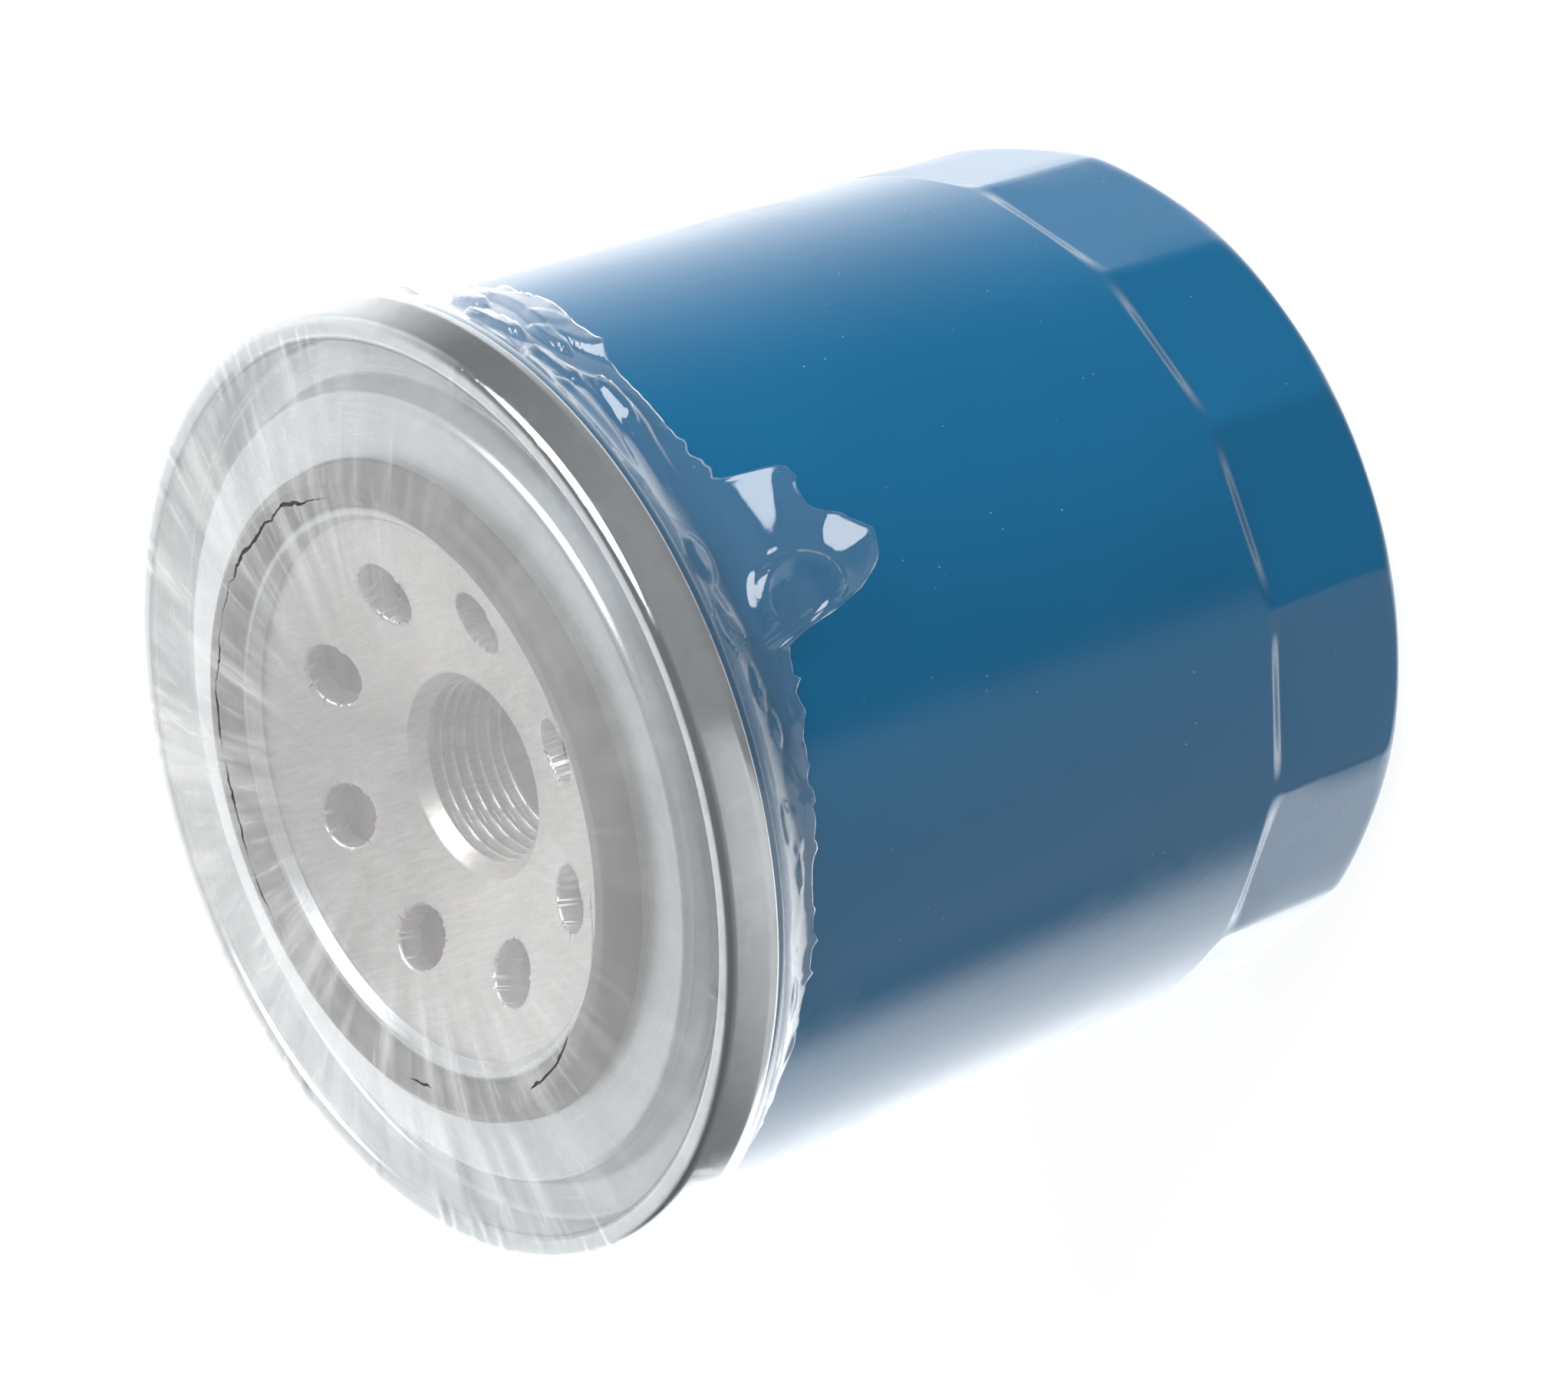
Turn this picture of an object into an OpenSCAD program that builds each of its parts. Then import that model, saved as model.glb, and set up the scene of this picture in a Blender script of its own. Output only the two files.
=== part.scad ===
// Spin-on oil filter: a seamed steel can with a threaded base plate, a pleated
// element on a hold-down spring, a bypass valve and a clear shrunk-on dust film.
// Millimetres. The filter stands on its closed end; +Z points to the threaded end.

/* [Can] */
// Radius of the can over its round wall
can_r = 46.5; // [44:0.5:49]
// Height of the seam's shoulder above the surface the filter stands on
seam_z = 91; // [88:1:120]
// Wall of the can
can_t = 0.6; // [0.5:0.05:0.7]
// Number of wrench flats pressed into the closed end
flats = 15; // [14:1:16]
// Height of the wrench flats
flats_h = 18.6; // [14:0.2:24]
// Length of the sloped shoulder above each flat
shoulder_h = 1.8; // [1:0.1:3]
// Radius of the rolled corner at the closed end
corner_r = 4; // [3:0.5:6]
// Depth of the dished centre of the closed end
dish_h = 1.6; // [1:0.1:2.5]

/* [Lid and gasket] */
// Sheet thickness of the lid
lid_t = 0.6; // [0.5:0.05:0.65]
// Outer radius of the gasket
gasket_r = 33.35; // [32.5:0.05:33.35]
// Radial width of the gasket
gasket_w = 3.9; // [3.4:0.1:3.9]
// Height of the gasket's crown above the seam's shoulder
gasket_top = 3.1; // [2.4:0.1:3.6]

/* [Base plate] */
// Minor radius of the internal M20 x 1.5 thread
thread_r = 9.188; // [8.5:0.001:9.6]
// Length of the threaded hub
hub_h = 11.7; // [10:0.1:13]
// Slope of the dished plate, in degrees
plate_slope = 17.5; // [15:0.5:18]
// Thickness of the plate
plate_t = 3.2; // [2.5:0.1:3.4]
// Number of oil inlet holes
inlets = 8; // [6:1:10]
// Radius of an oil inlet hole
inlet_r = 3.2; // [2.5:0.1:3.5]
// Radius of the circle that the inlet holes stand on
inlet_circle_r = 19.6; // [19:0.1:20]

/* [Element] */
// Outer radius of the end caps
cap_r = 41; // [38:0.5:42]
// Height of the underside of the lower end cap
element_z = 12; // [11.5:0.1:13]
// Number of pleats
pleats = 40; // [30:1:42]
// Thickness of the filter paper
paper_t = 0.5; // [0.3:0.05:0.55]
// Outer radius of the perforated centre tube
tube_r = 16.2; // [16:0.1:16.2]

/* [Bypass valve] */
// Radius of the hole that the valve closes
seat_r = 6.5; // [5:0.1:7]
// Radius of the valve's disc
disc_r = 9; // [8.5:0.1:10]
// Radius of the valve's guide stem
stem_r = 2; // [1.5:0.1:2.5]

/* [Springs] */
// Wire radius of the hold-down spring
hold_wire_r = 0.9; // [0.7:0.05:1.1]
// Wire radius of the bypass spring
bypass_wire_r = 0.6; // [0.4:0.05:0.8]

/* [Dust film] */
// Length of the film's skirt below the seam's shoulder
film_skirt_h = 10.5; // [8:0.5:14]
// Thickness of the film's solid
film_t = 0.3; // [0.2:0.05:0.3]

/* [Hidden] */
$fn = 96;
part_gap = 0.05;                     // between neighbours that don't move apart
lift_gap = 0.3;                      // between the film and what it covers
sheet_t = 0.6;                       // pressed sheet of the end caps and tube
flat_r = can_r * cos(180 / flats);   // distance from the axis to a flat
flat_depth = can_r - flat_r;
dish_r = 31;                         // flat centre of the closed end
foot_r = 34;                         // inner edge of the ring it stands on
lid_wall_r = can_r - can_t - lid_t - part_gap;
seam_r = can_r + 2.6;                // widest radius of the seam
channel_r = gasket_r + part_gap;     // gasket channel, outside
channel_in_r = gasket_r - gasket_w - part_gap;
panel_r = 40.2;                      // outer edge of the lid's flat panel
valley_z = -3.8;                     // floor beside the seam, from the shoulder
channel_z = -2;                      // floor of the gasket channel
crest_z = 1.1;                       // top of the seam, from the shoulder
mouth_r = 10.6;                      // chamfered mouth of the thread
mouth_z = -5.8;
plate_rim_r = channel_in_r - lid_t - 0.3;
plate_r = 38;
plate_drop = plate_t / cos(plate_slope);
hub_r = 12.8;
hub_bottom_z = mouth_z - hub_h;
flange_bottom_z = channel_z - lid_t - 3;
collar_r = 15;                       // outside of the rubber valve's collar
collar_z = hub_bottom_z + 0.5;
cap_top_z = seam_z - 17.9;           // top of the upper end cap
neck_r = collar_r + lift_gap;
neck_z = cap_top_z + 4.6;
cap_skirt_h = 3.6;
glue_h = 2;
inner_bottom_z = element_z + sheet_t;
inner_top_z = cap_top_z - sheet_t;
pleat_in_r = tube_r + 0.8;
pleat_out_r = cap_r - 1.4;
fold_gap = 0.6;                      // between the two layers of paper at a fold
clip_t = 0.4;
clip_length = 4;
seat_t = 0.8;
seat_lip_h = 0.5;
valve_r = tube_r - sheet_t - 0.1;    // what stands inside the centre tube
seal_z = inner_bottom_z + seat_t + seat_lip_h + part_gap;
seal_t = 1.2;
disc_z = seal_z + seal_t;
disc_t = 0.8;
cage_r = 12.4;
cage_top_z = 27;
stem_top_z = 32;
window_w = 9;
film_r = seam_r + lift_gap + film_t;

// Height above the standing surface of a point given from the seam's shoulder
function above(points) = [for (p = points) [p[0], p[1] + seam_z]];

// Height of the dished plate's upper face at a radius, from the seam's shoulder
function plate_z(r) = mouth_z + (r - mouth_r) * tan(plate_slope);

// The arc that rounds corner b of the line a, b, c; the fillet is b's third value
function corner_arc(a, b, c, steps) =
    let (at = [b[0], b[1]],
         back = [a[0], a[1]] - at,
         ahead = [c[0], c[1]] - at,
         u = back / norm(back),
         v = ahead / norm(ahead),
         half = acos(u * v) / 2,
         centre = at + (u + v) / norm(u + v) * b[2] / sin(half),
         start = at + u * b[2] / tan(half) - centre,
         finish = at + v * b[2] / tan(half) - centre,
         turn = atan2(start[0] * finish[1] - start[1] * finish[0], start * finish))
    [for (i = [0:steps])
        let (a = turn * i / steps)
        centre + [start[0] * cos(a) - start[1] * sin(a), start[0] * sin(a) + start[1] * cos(a)]];

// An open line, or a closed outline, of [r, z, fillet] points with its corners rounded
function rounded(points, closed = false, steps = 6) =
    let (n = len(points))
    [for (i = [0:n - 1])
        each (points[i][2] == 0 || (!closed && (i == 0 || i == n - 1)))
            ? [[points[i][0], points[i][1]]]
            : corner_arc(points[(i + n - 1) % n], points[i], points[(i + 1) % n], steps)];

// Unit normal on the right-hand side of the line from a to b
function side(a, b) = [b[1] - a[1], a[0] - b[0]] / norm(b - a);

// Outline of a sheet whose material lies on the right-hand side of a path
function sheet(path, t) =
    let (last = len(path) - 1,
         inner = [for (i = [0:last])
             let (before = side(path[max(i - 1, 0)], path[max(i, 1)]),
                  after = side(path[min(i, last - 1)], path[min(i + 1, last)]))
             path[i] + t * (before + after) / (1 + before * after)])
    concat(path, [for (i = [last:-1:0]) inner[i]]);

module ring(inner_r, outer_r, bottom_z, top_z) {
    translate([0, 0, bottom_z]) difference() {
        cylinder(r = outer_r, h = top_z - bottom_z);
        translate([0, 0, -1]) cylinder(r = inner_r, h = top_z - bottom_z + 2);
    }
}

// A coil of round wire, from a lower to an upper radius
module coil(low_r, high_r, wire_r, bottom_z, top_z, turns, steps = 24, sides = 8) {
    rings = round(turns * steps);
    function wire_r_at(t) = low_r + (high_r - low_r) * t;
    function ring_points(i) =
        let (t = i / rings, a = 360 * turns * t, z = bottom_z + (top_z - bottom_z) * t)
        [for (k = [0:sides - 1])
            let (b = 360 * k / sides, r = wire_r_at(t) + wire_r * cos(b))
            [r * cos(a), r * sin(a), z + wire_r * sin(b)]];
    points = [for (i = [0:rings]) each ring_points(i)];
    walls = [for (i = [0:rings - 1], k = [0:sides - 1])
        let (next = (k + 1) % sides)
        [i * sides + k, (i + 1) * sides + k, (i + 1) * sides + next, i * sides + next]];
    first_end = [for (k = [0:sides - 1]) k];
    last_end = [for (k = [sides - 1:-1:0]) rings * sides + k];
    polyhedron(points, concat(walls, [first_end, last_end]), convexity = 10);
}

// Everything inside the can's outer face, or inside its inner face for inset = can_t
module can_form(inset) {
    top = seam_z - 3.5;
    outline = concat(
        [[0, top], [0, dish_h + inset], [dish_r, dish_h + inset], [foot_r, inset]],
        [for (i = [0:8])
            let (a = -90 + 90 * i / 8)
            [can_r - corner_r, corner_r] + (corner_r - inset) * [cos(a), sin(a)]],
        [[can_r - inset, top]]);
    face = flat_r - inset;
    cutter = [[face, -1], [face, flats_h], [face + 1.5 * flat_depth, flats_h + 1.5 * shoulder_h],
              [can_r + 3, flats_h + 1.5 * shoulder_h], [can_r + 3, -1]];
    difference() {
        rotate_extrude() polygon(outline);
        for (k = [0:flats - 1])
            rotate([90, 0, (k + 0.5) * 360 / flats])
                linear_extrude(height = 24, center = true) polygon(cutter);
    }
}

module canister() {
    hook = rounded([[can_r - can_t, -3.5, 0], [can_r - can_t, 0, 0.65],
                    [can_r + 0.48, 0, 0.65], [can_r + 1.86, -2.9, 0]]);
    color("steelblue") {
        difference() {
            can_form(0);
            can_form(can_t);
            translate([0, 0, seam_z - 4]) cylinder(r = can_r - can_t, h = 4);
        }
        rotate_extrude() polygon(above(sheet(hook, can_t)));
    }
}

module seaming_lid() {
    path = rounded([[channel_in_r - 1.9, 0, 0], [channel_in_r - 1.1, 1.3, 0.7],
                    [channel_in_r, 1.3, 0.7], [channel_in_r, channel_z, 0.4],
                    [channel_r, channel_z, 0.4], [channel_r, 0, 0.9], [panel_r, 0, 0.9],
                    [panel_r + 0.8, valley_z, 0.6], [lid_wall_r, valley_z, 0.6],
                    [lid_wall_r, crest_z, 1.1], [can_r + 0.7, crest_z, 1.3],
                    [seam_r, -2.9, 0.9], [seam_r, -4, 0.8], [can_r + part_gap, -4, 0.7],
                    [can_r + part_gap, -2, 0]]);
    color("gainsboro") rotate_extrude() polygon(above(sheet(path, lid_t)));
}

module seam_sealant() {
    color("dimgray") ring(can_r - 0.35, can_r + 0.1, seam_z + 0.06, seam_z + crest_z - lid_t - 0.06);
}

module base_plate() {
    under = [[plate_r, channel_z - lid_t], [plate_r, flange_bottom_z],
             [plate_rim_r - 1, flange_bottom_z],
             [plate_rim_r - 3.5, plate_z(plate_rim_r - 3.5) - plate_drop],
             [hub_r, plate_z(hub_r) - plate_drop], [hub_r, hub_bottom_z]];
    bore = [[thread_r + 1, hub_bottom_z], [thread_r, hub_bottom_z + 1],
            [thread_r, mouth_z - (mouth_r - thread_r)], [mouth_r, mouth_z]];
    upper = [[plate_rim_r, plate_z(plate_rim_r)], [plate_rim_r, channel_z - lid_t]];
    color("silver") difference() {
        rotate_extrude() polygon(above(concat(under, bore, upper)));
        for (k = [0:inlets - 1])
            rotate([0, 0, k * 360 / inlets])
                translate([inlet_circle_r, 0, seam_z + plate_z(inlet_circle_r)])
                    rotate([0, -plate_slope, 0])
                        cylinder(r = inlet_r, h = 4 * plate_t, center = true);
    }
}

module sealing_gasket() {
    section = rounded([[gasket_r - gasket_w, channel_z + part_gap, 0.4],
                       [gasket_r, channel_z + part_gap, 0.4],
                       [gasket_r, gasket_top, 1.9], [gasket_r - gasket_w, gasket_top, 1.6]], true);
    color("dimgray") rotate_extrude() polygon(above(section));
}

module anti_drain_valve() {
    inner = hub_r + 0.1;
    top = plate_z(inner) - plate_drop - 0.2;
    tip = flange_bottom_z - 0.1;
    section = [[inner, top], [collar_r, top], [collar_r, -11.5], [32.4, tip], [33, tip],
               [33, tip - 0.9], [collar_r, -13], [collar_r, collar_z], [inner, collar_z]];
    color("saddlebrown") rotate_extrude() polygon(above(section));
}

module upper_end_cap() {
    section = [[neck_r, neck_z], [neck_r + sheet_t, neck_z], [neck_r + sheet_t, cap_top_z],
               [cap_r, cap_top_z], [cap_r, cap_top_z - cap_skirt_h],
               [cap_r - sheet_t, cap_top_z - cap_skirt_h], [cap_r - sheet_t, inner_top_z],
               [neck_r, inner_top_z]];
    color("lightgray") rotate_extrude() polygon(section);
}

module lower_end_cap() {
    hole_r = seat_r + 3.5;
    section = [[hole_r, element_z], [cap_r, element_z], [cap_r, element_z + cap_skirt_h],
               [cap_r - sheet_t, element_z + cap_skirt_h], [cap_r - sheet_t, inner_bottom_z],
               [hole_r, inner_bottom_z]];
    color("lightgray") rotate_extrude() polygon(section);
}

module cap_adhesive(bottom_z) {
    color("wheat") ring(tube_r + 0.1, cap_r - sheet_t - part_gap, bottom_z, bottom_z + glue_h);
}

module upper_cap_adhesive() {
    cap_adhesive(inner_top_z - glue_h);
}

module lower_cap_adhesive() {
    cap_adhesive(inner_bottom_z);
}

module centre_tube() {
    rows = 7;
    columns = 8;
    pitch = (inner_top_z - cage_top_z - 2) / rows;
    color("silver") difference() {
        ring(tube_r - sheet_t, tube_r, inner_bottom_z, inner_top_z);
        for (row = [0:rows - 1], column = [0:columns - 1])
            rotate([0, 0, (column + 0.5 * (row % 2)) * 360 / columns])
                translate([tube_r - 3, 0, cage_top_z + (row + 0.5) * pitch])
                    rotate([0, 90, 0]) cylinder(r = 2, h = 6);
    }
}

// One folded band of paper, whose two ends meet side by side at angle 0
module filter_media() {
    step = 360 / pleats;
    tip_r = pleat_out_r - paper_t;
    tip_turn = asin(fold_gap / 2 / tip_r);
    root_turn = asin((fold_gap / 2 + paper_t) / pleat_in_r);
    end_turn = asin(part_gap / tip_r);
    folds = [for (k = [0:pleats - 1])
        each concat(
            k == 0 ? [] : [[tip_r, k * step - tip_turn], [tip_r, k * step + tip_turn]],
            [[pleat_in_r, (k + 0.5) * step - root_turn], [pleat_in_r, (k + 0.5) * step + root_turn]])];
    path = concat([[tip_r, end_turn]], folds, [[tip_r, -end_turn]]);
    color("khaki") translate([0, 0, inner_bottom_z + glue_h])
        linear_extrude(height = inner_top_z - inner_bottom_z - 2 * glue_h)
            polygon(sheet([for (p = path) p[0] * [cos(p[1]), sin(p[1])]], paper_t));
}

module media_seam_clip() {
    half = paper_t + 0.25;
    section = [[pleat_out_r - clip_length, half], [pleat_out_r + part_gap, half],
               [pleat_out_r + part_gap, -half], [pleat_out_r - clip_length, -half],
               [pleat_out_r - clip_length, -half - clip_t], [pleat_out_r + part_gap + clip_t, -half - clip_t],
               [pleat_out_r + part_gap + clip_t, half + clip_t], [pleat_out_r - clip_length, half + clip_t]];
    color("silver") translate([0, 0, inner_bottom_z + glue_h + 2])
        linear_extrude(height = inner_top_z - inner_bottom_z - 2 * glue_h - 4) polygon(section);
}

module bypass_seat() {
    color("silver") {
        ring(seat_r, valve_r, inner_bottom_z, inner_bottom_z + seat_t);
        ring(seat_r, seat_r + 0.8, inner_bottom_z, inner_bottom_z + seat_t + seat_lip_h);
    }
}

module bypass_seal() {
    color("darkslategray") ring(stem_r - 0.5 + part_gap, disc_r, seal_z, disc_z);
}

module bypass_poppet() {
    color("silver") {
        translate([0, 0, disc_z]) cylinder(r = disc_r, h = disc_t);
        translate([0, 0, seal_z]) cylinder(r = stem_r - 0.5, h = seal_t);
        translate([0, 0, disc_z]) cylinder(r = stem_r, h = stem_top_z - disc_z);
    }
}

module bypass_spring() {
    clear = bypass_wire_r + part_gap;
    color("gray") coil(6, 6, bypass_wire_r, disc_z + disc_t + clear, cage_top_z - sheet_t - clear, 5);
}

module bypass_cage() {
    base_z = inner_bottom_z + seat_t;
    section = [[cage_r - sheet_t, base_z], [valve_r, base_z], [valve_r, base_z + sheet_t],
               [cage_r, base_z + sheet_t], [cage_r, cage_top_z], [stem_r + 0.08, cage_top_z],
               [stem_r + 0.08, cage_top_z - sheet_t], [cage_r - sheet_t, cage_top_z - sheet_t]];
    color("lightgray") difference() {
        rotate_extrude() polygon(section);
        for (k = [0:1])
            rotate([0, 0, 45 + 90 * k])
                translate([0, 0, base_z + 6]) cube([2 * cage_r + 4, window_w, 7], center = true);
    }
}

module hold_down_spring() {
    clear = hold_wire_r + part_gap;
    color("gray") coil(24, 16, hold_wire_r, dish_h + can_t + clear, element_z - clear, 2.5);
}

module shrink_film() {
    crown = gasket_top + lift_gap + film_t;
    path = [[0, crown], [gasket_r - 1, crown], [can_r + 0.4, crest_z + lift_gap + film_t + 0.05],
            [can_r + 2.4, 0.9], [film_r, -0.3], [film_r, -film_skirt_h]];
    color("white", 0.4) rotate_extrude() polygon(above(sheet(path, film_t)));
}

canister();
seaming_lid();
seam_sealant();
base_plate();
sealing_gasket();
anti_drain_valve();
upper_end_cap();
upper_cap_adhesive();
centre_tube();
filter_media();
media_seam_clip();
lower_cap_adhesive();
lower_end_cap();
bypass_seat();
bypass_seal();
bypass_poppet();
bypass_spring();
bypass_cage();
hold_down_spring();
shrink_film();
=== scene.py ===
import math

import bmesh
import bpy
from bpy.props import FloatProperty, FloatVectorProperty, IntProperty, PointerProperty
from mathutils import Matrix, Vector, noise


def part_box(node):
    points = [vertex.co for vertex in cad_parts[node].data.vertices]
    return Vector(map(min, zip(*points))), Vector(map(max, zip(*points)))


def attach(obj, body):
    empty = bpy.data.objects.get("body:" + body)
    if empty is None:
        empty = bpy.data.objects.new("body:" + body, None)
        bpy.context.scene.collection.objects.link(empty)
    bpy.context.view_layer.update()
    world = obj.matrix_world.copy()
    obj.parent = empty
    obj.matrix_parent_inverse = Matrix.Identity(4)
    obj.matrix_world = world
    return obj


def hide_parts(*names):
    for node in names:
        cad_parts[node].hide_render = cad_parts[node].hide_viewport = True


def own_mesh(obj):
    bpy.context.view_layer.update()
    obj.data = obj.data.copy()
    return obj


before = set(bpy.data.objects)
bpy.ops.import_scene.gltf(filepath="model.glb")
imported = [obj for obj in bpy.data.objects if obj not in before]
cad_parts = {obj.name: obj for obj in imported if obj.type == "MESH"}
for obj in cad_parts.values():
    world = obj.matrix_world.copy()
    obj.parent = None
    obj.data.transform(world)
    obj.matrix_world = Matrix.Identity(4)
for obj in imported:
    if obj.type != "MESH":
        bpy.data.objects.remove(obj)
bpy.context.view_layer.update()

bl_info = {
    "name": "Spin-on Oil Filter",
    "version": (1, 0, 0),
    "blender": (4, 5, 0),
    "location": "View3D > Sidebar > Oil Filter",
    "description": "Builds the visual model of a spin-on oil filter around its engineering frame",
    "category": "Add Mesh",
}

MM = 0.001
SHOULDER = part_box("canister")[1][2] / MM  # the seam's shoulder: outlines count heights from it
SEAM_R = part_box("seaming_lid")[1][0] / MM
CAN_R = SEAM_R - 2.6  # the seam stands out this far from the can
FULL_TURN = 2 * math.pi
SECTORS = 8  # a spun piece is one sector and its copies
TOUCHING = 1e-7  # vertices closer than this merge, in metres


# Sizes and colours that a user would change


def length_setting(name, description, default):
    """A setting in metres."""
    return FloatProperty(name=name, description=description, default=default, unit="LENGTH")


def angle_setting(name, description, degrees):
    """A setting that turns something."""
    return FloatProperty(name=name, description=description, default=math.radians(degrees), unit="ROTATION")


def colour_setting(name, description, default):
    """A setting with a red, a green and a blue share."""
    return FloatVectorProperty(name=name, description=description, subtype="COLOR", size=3, default=default)


class FilterSizes(bpy.types.PropertyGroup):
    """Driving sizes of the visible pieces"""

    wall: length_setting("Can wall", "Thickness of the can", 0.0006)
    sheet: length_setting("Lid sheet", "Thickness of the lid", 0.0006)
    flats: IntProperty(name="Wrench flats", description="Flats pressed into the closed end", default=15)
    flats_height: length_setting("Flats height", "Height of the wrench flats", 0.0186)
    shoulder_height: length_setting("Flats shoulder", "Height of the slope above a flat", 0.0018)
    inlets: IntProperty(name="Inlet holes", description="Oil inlets in the base plate", default=8)
    inlet_radius: length_setting("Inlet radius", "Radius of an oil inlet", 0.0032)
    inlet_circle: length_setting("Inlet circle", "Radius that the inlets stand on", 0.0196)
    thread_pitch: length_setting("Thread pitch", "Pitch of the thread", 0.0015)
    thread_minor: length_setting("Thread minor radius", "Radius of the thread's crests", 0.009188)
    thread_major: length_setting("Thread major radius", "Radius of the thread's roots", 0.01)
    film: length_setting("Film", "Thickness of the dust film", 0.00008)
    film_cut: length_setting("Film cut", "Diameter that the film is cut to before it shrinks", 0.125)


class FilterColours(bpy.types.PropertyGroup):
    """Base colours of the finishes"""

    paint: colour_setting("Paint", "Enamel on the can", (0.004, 0.148, 0.325))
    zinc: colour_setting("Zinc", "Zinc plating on the lid", (0.66, 0.70, 0.73))
    steel: colour_setting("Steel", "Bare steel of the base plate", (0.732, 0.708, 0.683))
    rubber: colour_setting("Rubber", "Gasket rubber", (0.035, 0.034, 0.036))
    paper: colour_setting("Paper", "Resin-cured filter paper", (0.62, 0.43, 0.17))


class StageSettings(bpy.types.PropertyGroup):
    """The camera"""

    azimuth: angle_setting("Azimuth", "Direction to the camera", -178.66)
    elevation: angle_setting("Elevation", "Height of the camera as an angle", 36.37)
    roll: angle_setting("Roll", "Turn of the camera about its line of sight", 109.32)
    distance: length_setting("Distance", "Camera to aim point", 0.52053)
    aim: FloatVectorProperty(
        name="Aim",
        description="Point that the camera looks at",
        size=3,
        default=(-0.00058, 0.00243, 0.0463),
        unit="LENGTH",
    )
    lens: FloatProperty(name="Lens", description="Focal length in millimetres", default=116.3)


# Outlines: lists of (radius, height above the shoulder) in millimetres


def corner_arc(before, corner, after, fillet, steps):
    """The points that round a corner with a fillet."""
    back = (before - corner).normalized()
    ahead = (after - corner).normalized()
    half = back.angle(ahead) / 2
    centre = corner + (back + ahead).normalized() * fillet / math.sin(half)
    start = corner + back * fillet / math.tan(half) - centre
    finish = corner + ahead * fillet / math.tan(half) - centre
    turn = math.atan2(start.x * finish.y - start.y * finish.x, start.dot(finish))
    return [centre + Matrix.Rotation(turn * i / steps, 2) @ start for i in range(steps + 1)]


def rounded(points, closed=False, steps=8):
    """A line through (radius, height, fillet) points with its corners rounded."""
    count = len(points)
    line = []
    for i, point in enumerate(points):
        corner = Vector(point[:2])
        fillet = point[2] if len(point) > 2 else 0
        if fillet == 0 or (not closed and i in (0, count - 1)):
            line.append(corner)
            continue
        before = Vector(points[i - 1][:2])
        after = Vector(points[(i + 1) % count][:2])
        line.extend(corner_arc(before, corner, after, fillet, steps))
    return line


def sheet_outline(path, thickness):
    """A closed outline of sheet metal whose material lies on the right of a path."""
    inner = []
    for i, point in enumerate(path):
        before = (path[max(i, 1)] - path[max(i - 1, 0)]).normalized()
        after = (path[min(i + 1, len(path) - 1)] - path[min(i, len(path) - 2)]).normalized()
        right = Vector((before.y + after.y, -before.x - after.x)) / (1 + before.dot(after))
        inner.append(point + right * thickness)
    return path + inner[::-1]


def finer(line, longest):
    """The same line with no stretch longer than a given length."""
    points = [line[0]]
    for a, b in zip(line, line[1:]):
        parts = max(1, math.ceil((b - a).length / longest))
        points.extend(a.lerp(b, (i + 1) / parts) for i in range(parts))
    return points


def smooth_step(low, high, value):
    """0 at low and beyond, 1 at high and beyond, and a smooth change between them."""
    t = min(max((value - low) / (high - low), 0), 1)
    return t * t * (3 - 2 * t)


def bump(value, centre, width):
    """A smooth hill of height 1."""
    return math.exp(-(((value - centre) / width) ** 2))


def around(angle, bearing):
    """The signed angle from a bearing in degrees, within half a turn."""
    return (angle - math.radians(bearing) + math.pi) % FULL_TURN - math.pi


# Mesh helpers


def spun(bm, outline, steps, closed=True, base=None):
    """Spins an outline round the filter's axis as equal sectors, and returns its vertices."""
    lift = SHOULDER if base is None else base
    old = set(bm.verts)
    points = [bm.verts.new((p[0] * MM, 0, (p[1] + lift) * MM)) for p in outline]
    edges = [bm.edges.new(pair) for pair in zip(points, points[1:])]
    if closed:
        edges.append(bm.edges.new((points[-1], points[0])))
    sector = FULL_TURN / SECTORS
    bmesh.ops.spin(
        bm,
        geom=points + edges,
        cent=(0, 0, 0),
        axis=(0, 0, 1),
        dvec=(0, 0, 0),
        angle=sector,
        steps=steps // SECTORS,
    )
    verts = [v for v in bm.verts if v not in old]
    bmesh.ops.remove_doubles(bm, verts=verts, dist=TOUCHING)
    verts = [v for v in bm.verts if v not in old]
    faces = list(dict.fromkeys(f for v in verts for f in v.link_faces))
    edges = list(dict.fromkeys(e for f in faces for e in f.edges))
    for k in range(1, SECTORS):
        copy = bmesh.ops.duplicate(bm, geom=verts + edges + faces)["geom"]
        turned = [g for g in copy if isinstance(g, bmesh.types.BMVert)]
        bmesh.ops.rotate(bm, verts=turned, cent=(0, 0, 0), matrix=Matrix.Rotation(k * sector, 3, "Z"))
    bmesh.ops.remove_doubles(bm, verts=[v for v in bm.verts if v not in old], dist=TOUCHING)
    return [v for v in bm.verts if v not in old]


def finish_piece(bm, name, body, nodes, finish, sharp=35):
    """Turns a bmesh into a finished piece that rides on a body in place of its CAD nodes."""
    bmesh.ops.recalc_face_normals(bm, faces=bm.faces)
    mesh = bpy.data.meshes.new(name)
    bm.to_mesh(mesh)
    bm.free()
    for face in mesh.polygons:
        face.use_smooth = True
    mesh.set_sharp_from_angle(angle=math.radians(sharp))
    piece = bpy.data.objects.new(name, mesh)
    bpy.context.collection.objects.link(piece)
    mesh.materials.append(finish)
    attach(piece, body)
    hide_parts(*nodes)
    return piece


def lathed(name, body, nodes, finish, outline, steps=192, base=None, sharp=35):
    """A piece that is one closed outline spun round the axis."""
    bm = bmesh.new()
    spun(bm, outline, steps, base=base)
    return finish_piece(bm, name, body, nodes, finish, sharp)


# Shader helpers and the node groups that several finishes share


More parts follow.
